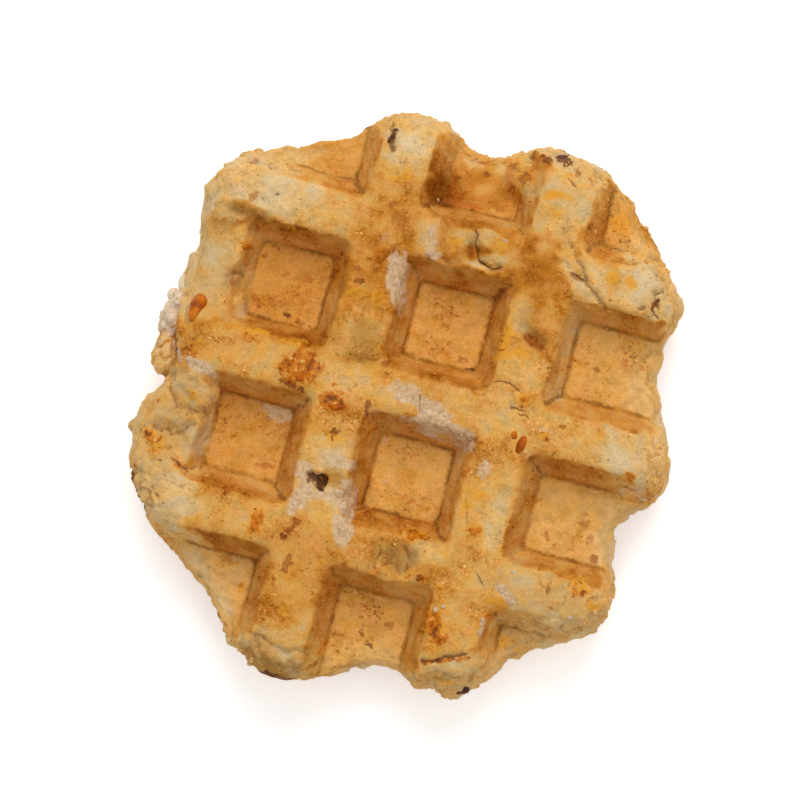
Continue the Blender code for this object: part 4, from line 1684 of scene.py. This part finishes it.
def thinned(piece, triangles):
    """Takes triangles away where the underside and the rim can spare them."""
    count = sum(len(face.vertices) - 2 for face in piece.data.polygons)
    layer = piece.data.attributes["upper"]
    upper = np.empty(len(piece.data.vertices), dtype=np.float32)
    layer.data.foreach_get("value", upper)
    group = piece.vertex_groups.new(name="spare")
    group.add([int(i) for i in np.nonzero(upper < 0.5)[0]], 1.0, "REPLACE")
    thin = piece.modifiers.new("thin", "DECIMATE")
    thin.ratio = triangles / count
    thin.vertex_group = "spare"
    thin.vertex_group_factor = 3.0
    thin.use_collapse_triangulate = True
    piece.data = plain_mesh(piece, piece.name)
    piece.modifiers.clear()
    piece.vertex_groups.clear()
    return piece


def set_in(name, upper, lower, finish, facets, rough):
    """Lumps of one kind, sunk part way into the crust, as one piece."""
    crust = bpy.data.objects["crust"]
    bpy.context.view_layer.update()
    chance = np.random.default_rng(len(upper))
    mesh = bmesh.new()
    for side, lumps_here in ((1, upper), (-1, lower)):
        for x, y, half_x, half_y, turn, half_z, stand in lumps_here:
            start = Vector((x, y, MIDDLE + side * 40)) * MM
            found, spot, facing, _ = crust.ray_cast(start, Vector((0, 0, -side)))
            if not found:
                raise RuntimeError(f"{name} at {x}, {y} misses the crust")
            ball = bmesh.ops.create_icosphere(mesh, subdivisions=4, radius=1)["verts"]
            points = np.array([vertex.co for vertex in ball])
            for plane in chance.normal(size=(facets, 3)):
                plane /= np.hypot.reduce(plane)
                points -= np.maximum(points @ plane - 0.74, 0)[:, None] * plane
            points *= (half_x, half_y, half_z)
            points *= 1 + (0.12 if facets else 0.04) * lumps(points + x, 1.6 * half_z, 71)[:, None]
            points *= 1 + rough * lumps(points + x, 0.6, 73, 3)[:, None]
            upright = Vector((0, 0, side))
            lean = upright.rotation_difference(facing.lerp(upright, 0.4)).to_matrix()
            flat = Matrix.Rotation(math.radians(turn), 3, "Z")
            for vertex, point in zip(ball, points):
                vertex.co = spot + (lean @ flat @ Vector(point) + facing * (stand - half_z)) * MM
    made = bpy.data.meshes.new(name)
    mesh.to_mesh(made)
    mesh.free()
    piece = shown(name, made)
    made.materials.append(finish)
    made.shade_smooth()
    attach(piece, "root")


class WAFFLE_PG_sizes(bpy.types.PropertyGroup):
    voxel: bpy.props.FloatProperty(
        name="Mesh fineness",
        description="Edge length of the crust's mesh",
        default=0.42 * MM,
        unit="LENGTH",
        precision=5,
    )
    triangles: bpy.props.IntProperty(
        name="Crust triangles",
        description="How many triangles the finished crust keeps",
        default=192000,
    )
    sugar_density: bpy.props.FloatProperty(
        name="Sugar grains",
        description="Sugar grains on each square millimetre of sugared crust",
        default=0.3,
    )
    caramel_density: bpy.props.FloatProperty(
        name="Caramel beads",
        description="Beads of caramel on each square millimetre of caramelised crust",
        default=0.22,
    )
    crumb_density: bpy.props.FloatProperty(
        name="Crumbs",
        description="Crumbs on each square millimetre of the rim",
        default=0.06,
    )


def tint(name, description, default):
    """A colour that a user may change. Its default is as a screen shows it."""
    return bpy.props.FloatVectorProperty(
        name=name, description=description, default=display(*default), subtype="COLOR", size=3
    )


class WAFFLE_PG_colours(bpy.types.PropertyGroup):
    raw: tint("Raw", "Dough that the iron didn't touch", (219, 192, 148))
    pale: tint("Pale", "Dough that only set", (217, 177, 116))
    golden: tint("Golden", "Lightly baked crust", (219, 167, 92))
    toasted: tint("Toasted", "Crust on most ribs and floors", (209, 147, 70))
    brown: tint("Brown", "Well baked crust", (190, 121, 40))
    deep: tint("Deep", "The darkest crust", (154, 86, 8))
    plain: bpy.props.FloatVectorProperty(
        name="Plain cast",
        description="Tints the rest of the crust",
        default=(1.0, 1.0, 0.92),
        subtype="COLOR",
        size=3,
    )
    cool: tint("Cool cast", "Tints the crust's cooler places", (255, 246, 243))
    rich: tint("Rich cast", "Tints the crust's richer places", (255, 243, 196))
    pore: tint("Pore", "Small pores in pale dough", (166, 132, 80))
    # Greys the crust: a duller tone, and painted shade.
    dull: tint("Dull", "Tints the crust's greyer places", (196, 184, 152))
    warm: tint("Warm", "Sugary yellow spots in pale dough", (224, 160, 66))
    amber: tint("Amber", "Sugar that turned to amber in the crust", (224, 154, 44))
    rusty: tint("Rusty", "Small reddish flecks", (186, 98, 36))
    # Painted shade: the dark colour laid in seams, crevices and creases.
    crevice: tint("Crevice", "Seams between floors and walls", (116, 72, 26))
    # Painted shade at the bottom of a crack.
    crack: tint("Crack", "The bottom of a crack", (112, 66, 20))
    scorch: tint("Scorch", "Scorched spots", (118, 50, 12))
    char: tint("Char", "Burnt spots", (62, 20, 4))
    sugar: tint("Sugar", "Pearl sugar", (224, 194, 158))
    sugar_grey: tint("Grey sugar", "Half-melted pearl sugar", (186, 146, 104))
    white: tint("White sugar", "Sugar that never melted", (234, 218, 196))
    # Painted shade in the gaps between grains of sugar.
    sugar_gap_shade: tint("Sugar seam", "Seams between grains of sugar", (164, 126, 84))
    # Painted highlight: the lightest spots in the caramel.
    glint_highlight: tint("Glint", "Sugar that stayed white in the caramel", (230, 178, 96))
    caramel_light: tint("Light caramel", "Thin caramel", (206, 119, 24))
    caramel: tint("Caramel", "Caramel drops", (172, 82, 4))
    caramel_dark: tint("Dark caramel", "Burnt caramel", (108, 42, 4))
    table: tint("Table", "The white table", (252, 252, 252))


class WAFFLE_OT_crust(bpy.types.Operator):
    """Bakes the crust over the frame's solid"""

    bl_idname = "waffle.crust"
    bl_label = "Bake crust"

    def execute(self, context):
        sizes, look = context.scene.waffle_sizes, context.scene.waffle_colours
        mesh = fine_copy(sizes.voxel)
        dough = Dough(mesh)
        dough.relax()
        dough.settle()
        soften(dough)
        round_edges(dough)
        close_pit(dough)
        find_zones(dough)
        paint_masks(dough)
        mark_folds(dough)
        bend_ribs(dough)
        shape_upper(dough)
        shape_all_over(dough)
        paint_crevices(dough)
        store_masks(dough)
        piece = thinned(shown("crust", mesh), sizes.triangles)
        piece.data.materials.append(crust_finish(look, len(crack_layers())))
        piece.data.shade_smooth()
        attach(piece, "root")
        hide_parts("waffle")
        return {"FINISHED"}


class WAFFLE_OT_nibs(bpy.types.Operator):
    """Sets larger nibs of sugar into the crust"""

    bl_idname = "waffle.nibs"
    bl_label = "Set sugar nibs"

    def execute(self, context):
        finish = sugar_finish(context.scene.waffle_colours)
        set_in("sugar_nibs", SUGAR_NIBS, LOWER_NIBS, finish, 9, 0.035)
        return {"FINISHED"}


class WAFFLE_OT_drops(bpy.types.Operator):
    """Sets amber drops of caramel into the crust"""

    bl_idname = "waffle.drops"
    bl_label = "Set caramel drops"

    def execute(self, context):
        finish = caramel_finish(context.scene.waffle_colours)
        set_in("caramel_drops", CARAMEL_DROPS, LOWER_DROPS, finish, 0, 0.0)
        return {"FINISHED"}


class WAFFLE_OT_lumps(bpy.types.Operator):
    """Sets lumps of loose crumb on the rim"""

    bl_idname = "waffle.lumps"
    bl_label = "Set crumb lumps"

    def execute(self, context):
        finish = crumb_finish(context.scene.waffle_colours)
        set_in("crumb_lumps", CRUMB_LUMPS, LOWER_CRUMBS, finish, 6, 0.16)
        return {"FINISHED"}


class WAFFLE_OT_burnt(bpy.types.Operator):
    """Sets burnt drops at the waffle's lower edge"""

    bl_idname = "waffle.burnt"
    bl_label = "Set burnt drops"

    def execute(self, context):
        finish = burnt_finish(context.scene.waffle_colours)
        set_in("burnt_drops", BURNT_DROPS, LOWER_BURNT, finish, 0, 0.08)
        return {"FINISHED"}


def scatter(name, mask, flatness, values):
    """One kind of grain on the crust, as one piece."""
    surface = bpy.data.objects["crust"]
    piece = grown(name, surface, scatter_tree(name, mask, flatness), values)
    if not len(piece.data.polygons):
        raise RuntimeError(f"{name} has no grains")
    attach(piece, "root")


class WAFFLE_OT_sugar(bpy.types.Operator):
    """Scatters the sugar's crystals where sugar lies in the crust"""

    bl_idname = "waffle.sugar"
    bl_label = "Scatter sugar"

    def execute(self, context):
        sizes, look = context.scene.waffle_sizes, context.scene.waffle_colours
        values = {
            "Grains per square mm": sizes.sugar_density,
            "Least size": 0.3 * MM,
            "Largest size": 0.8 * MM,
            "Least mask": 0.45,
            "Seed": 3,
            "Finish": sugar_finish(look),
        }
        scatter("sugar_grains", "sugar", 0.5, values)
        return {"FINISHED"}


class WAFFLE_OT_caramel(bpy.types.Operator):
    """Scatters beads of caramel where it boiled out"""

    bl_idname = "waffle.caramel"
    bl_label = "Scatter caramel"

    def execute(self, context):
        sizes, look = context.scene.waffle_sizes, context.scene.waffle_colours
        values = {
            "Grains per square mm": sizes.caramel_density,
            "Least size": 0.3 * MM,
            "Largest size": 0.9 * MM,
            "Least mask": 0.5,
            "Seed": 4,
            "Finish": caramel_finish(look),
        }
        scatter("caramel_beads", "caramel", 0.3, values)
        return {"FINISHED"}


class WAFFLE_OT_crumbs(bpy.types.Operator):
    """Scatters crumbs along the rim"""

    bl_idname = "waffle.crumbs"
    bl_label = "Scatter crumbs"

    def execute(self, context):
        sizes, look = context.scene.waffle_sizes, context.scene.waffle_colours
        values = {
            "Grains per square mm": sizes.crumb_density,
            "Least size": 0.35 * MM,
            "Largest size": 1.0 * MM,
            "Least mask": 0.3,
            "Seed": 9,
            "Finish": crumb_finish(look),
        }
        scatter("rim_crumbs", "rim", 0.6, values)
        return {"FINISHED"}


# Camera: nearly overhead, turned so that the cross ribs run down to the right.
CAMERA_ROLL = math.radians(14.6)
CAMERA_LEAN = (math.radians(3.0), math.radians(-1.3))
CAMERA_DISTANCE = 0.7
VIEW_WIDTH = 0.1379
AIM = Vector((-0.00178, 0.00151, RIB_TOP * MM))
SENSOR = 36.0


def aimed(place, target, roll):
    """A matrix at a place that looks at a target, with its right side turned by roll."""
    back = (place - target).normalized()
    right = Vector((math.cos(roll), math.sin(roll), 0))
    right = (right - back * right.dot(back)).normalized()
    matrix = Matrix((right, back.cross(right), back)).transposed().to_4x4()
    matrix.translation = place
    return matrix


class WAFFLE_OT_stage(bpy.types.Operator):
    """Sets the white table, the soft lights and the camera"""

    bl_idname = "waffle.stage"
    bl_label = "Set stage"

    def execute(self, context):
        scene = context.scene
        link = scene.collection.objects.link
        bpy.ops.mesh.primitive_plane_add(size=4)
        table = context.object
        table.name = "table"
        table.location.z = -0.0002
        table.data.materials.append(table_finish(scene.waffle_colours))

        lean = Vector((math.tan(CAMERA_LEAN[0]), math.tan(CAMERA_LEAN[1]), 1)).normalized()
        data = bpy.data.cameras.new("camera")
        data.sensor_width = SENSOR
        data.lens = SENSOR * CAMERA_DISTANCE / VIEW_WIDTH
        camera = bpy.data.objects.new("camera", data)
        camera.matrix_world = aimed(AIM + lean * CAMERA_DISTANCE, AIM, CAMERA_ROLL)
        link(camera)
        scene.camera = camera

        turn = Matrix.Rotation(CAMERA_ROLL, 3, "Z")
        for name, direction, size, power in (
            ("window", (0.1, 0.62, 0.8), 0.5, 4.08),
            ("overhead", (0.1, -0.05, 1.0), 0.7, 2.46),
        ):
            lamp = bpy.data.lights.new(name, "AREA")
            lamp.size = size
            lamp.energy = power
            holder = bpy.data.objects.new(name, lamp)
            place = turn @ Vector(direction).normalized() * 0.9
            holder.matrix_world = aimed(place, Vector((0, 0, 0)), 0)
            link(holder)
        world = bpy.data.worlds.new("room")
        world.use_nodes = True
        world.node_tree.nodes["Background"].inputs["Color"].default_value = (1, 1, 1, 1)
        world.node_tree.nodes["Background"].inputs["Strength"].default_value = 0.38
        scene.world = world
        scene.view_settings.view_transform = "Standard"
        return {"FINISHED"}


STEPS = (
    WAFFLE_OT_crust,
    WAFFLE_OT_nibs,
    WAFFLE_OT_drops,
    WAFFLE_OT_lumps,
    WAFFLE_OT_burnt,
    WAFFLE_OT_sugar,
    WAFFLE_OT_caramel,
    WAFFLE_OT_crumbs,
    WAFFLE_OT_stage,
)


class WAFFLE_PT_panel(bpy.types.Panel):
    """The waffle's settings and the steps that make it"""

    bl_idname = "WAFFLE_PT_panel"
    bl_label = "Liege waffle"
    bl_space_type = "VIEW_3D"
    bl_region_type = "UI"
    bl_category = "Waffle"

    def draw(self, context):
        for step in STEPS:
            self.layout.operator(step.bl_idname)
        for settings in (context.scene.waffle_sizes, context.scene.waffle_colours):
            for name in type(settings).__annotations__:
                self.layout.prop(settings, name)


CLASSES = (WAFFLE_PG_sizes, WAFFLE_PG_colours, *STEPS, WAFFLE_PT_panel)


def register():
    for cls in CLASSES:
        bpy.utils.register_class(cls)
    bpy.types.Scene.waffle_sizes = bpy.props.PointerProperty(type=WAFFLE_PG_sizes)
    bpy.types.Scene.waffle_colours = bpy.props.PointerProperty(type=WAFFLE_PG_colours)


def unregister():
    del bpy.types.Scene.waffle_colours
    del bpy.types.Scene.waffle_sizes
    for cls in reversed(CLASSES):
        bpy.utils.unregister_class(cls)


def main():
    register()
    bpy.ops.waffle.crust()
    bpy.ops.waffle.nibs()
    bpy.ops.waffle.drops()
    bpy.ops.waffle.lumps()
    bpy.ops.waffle.burnt()
    bpy.ops.waffle.sugar()
    bpy.ops.waffle.caramel()
    bpy.ops.waffle.crumbs()
    bpy.ops.waffle.stage()


if __name__ == "__main__":
    main()
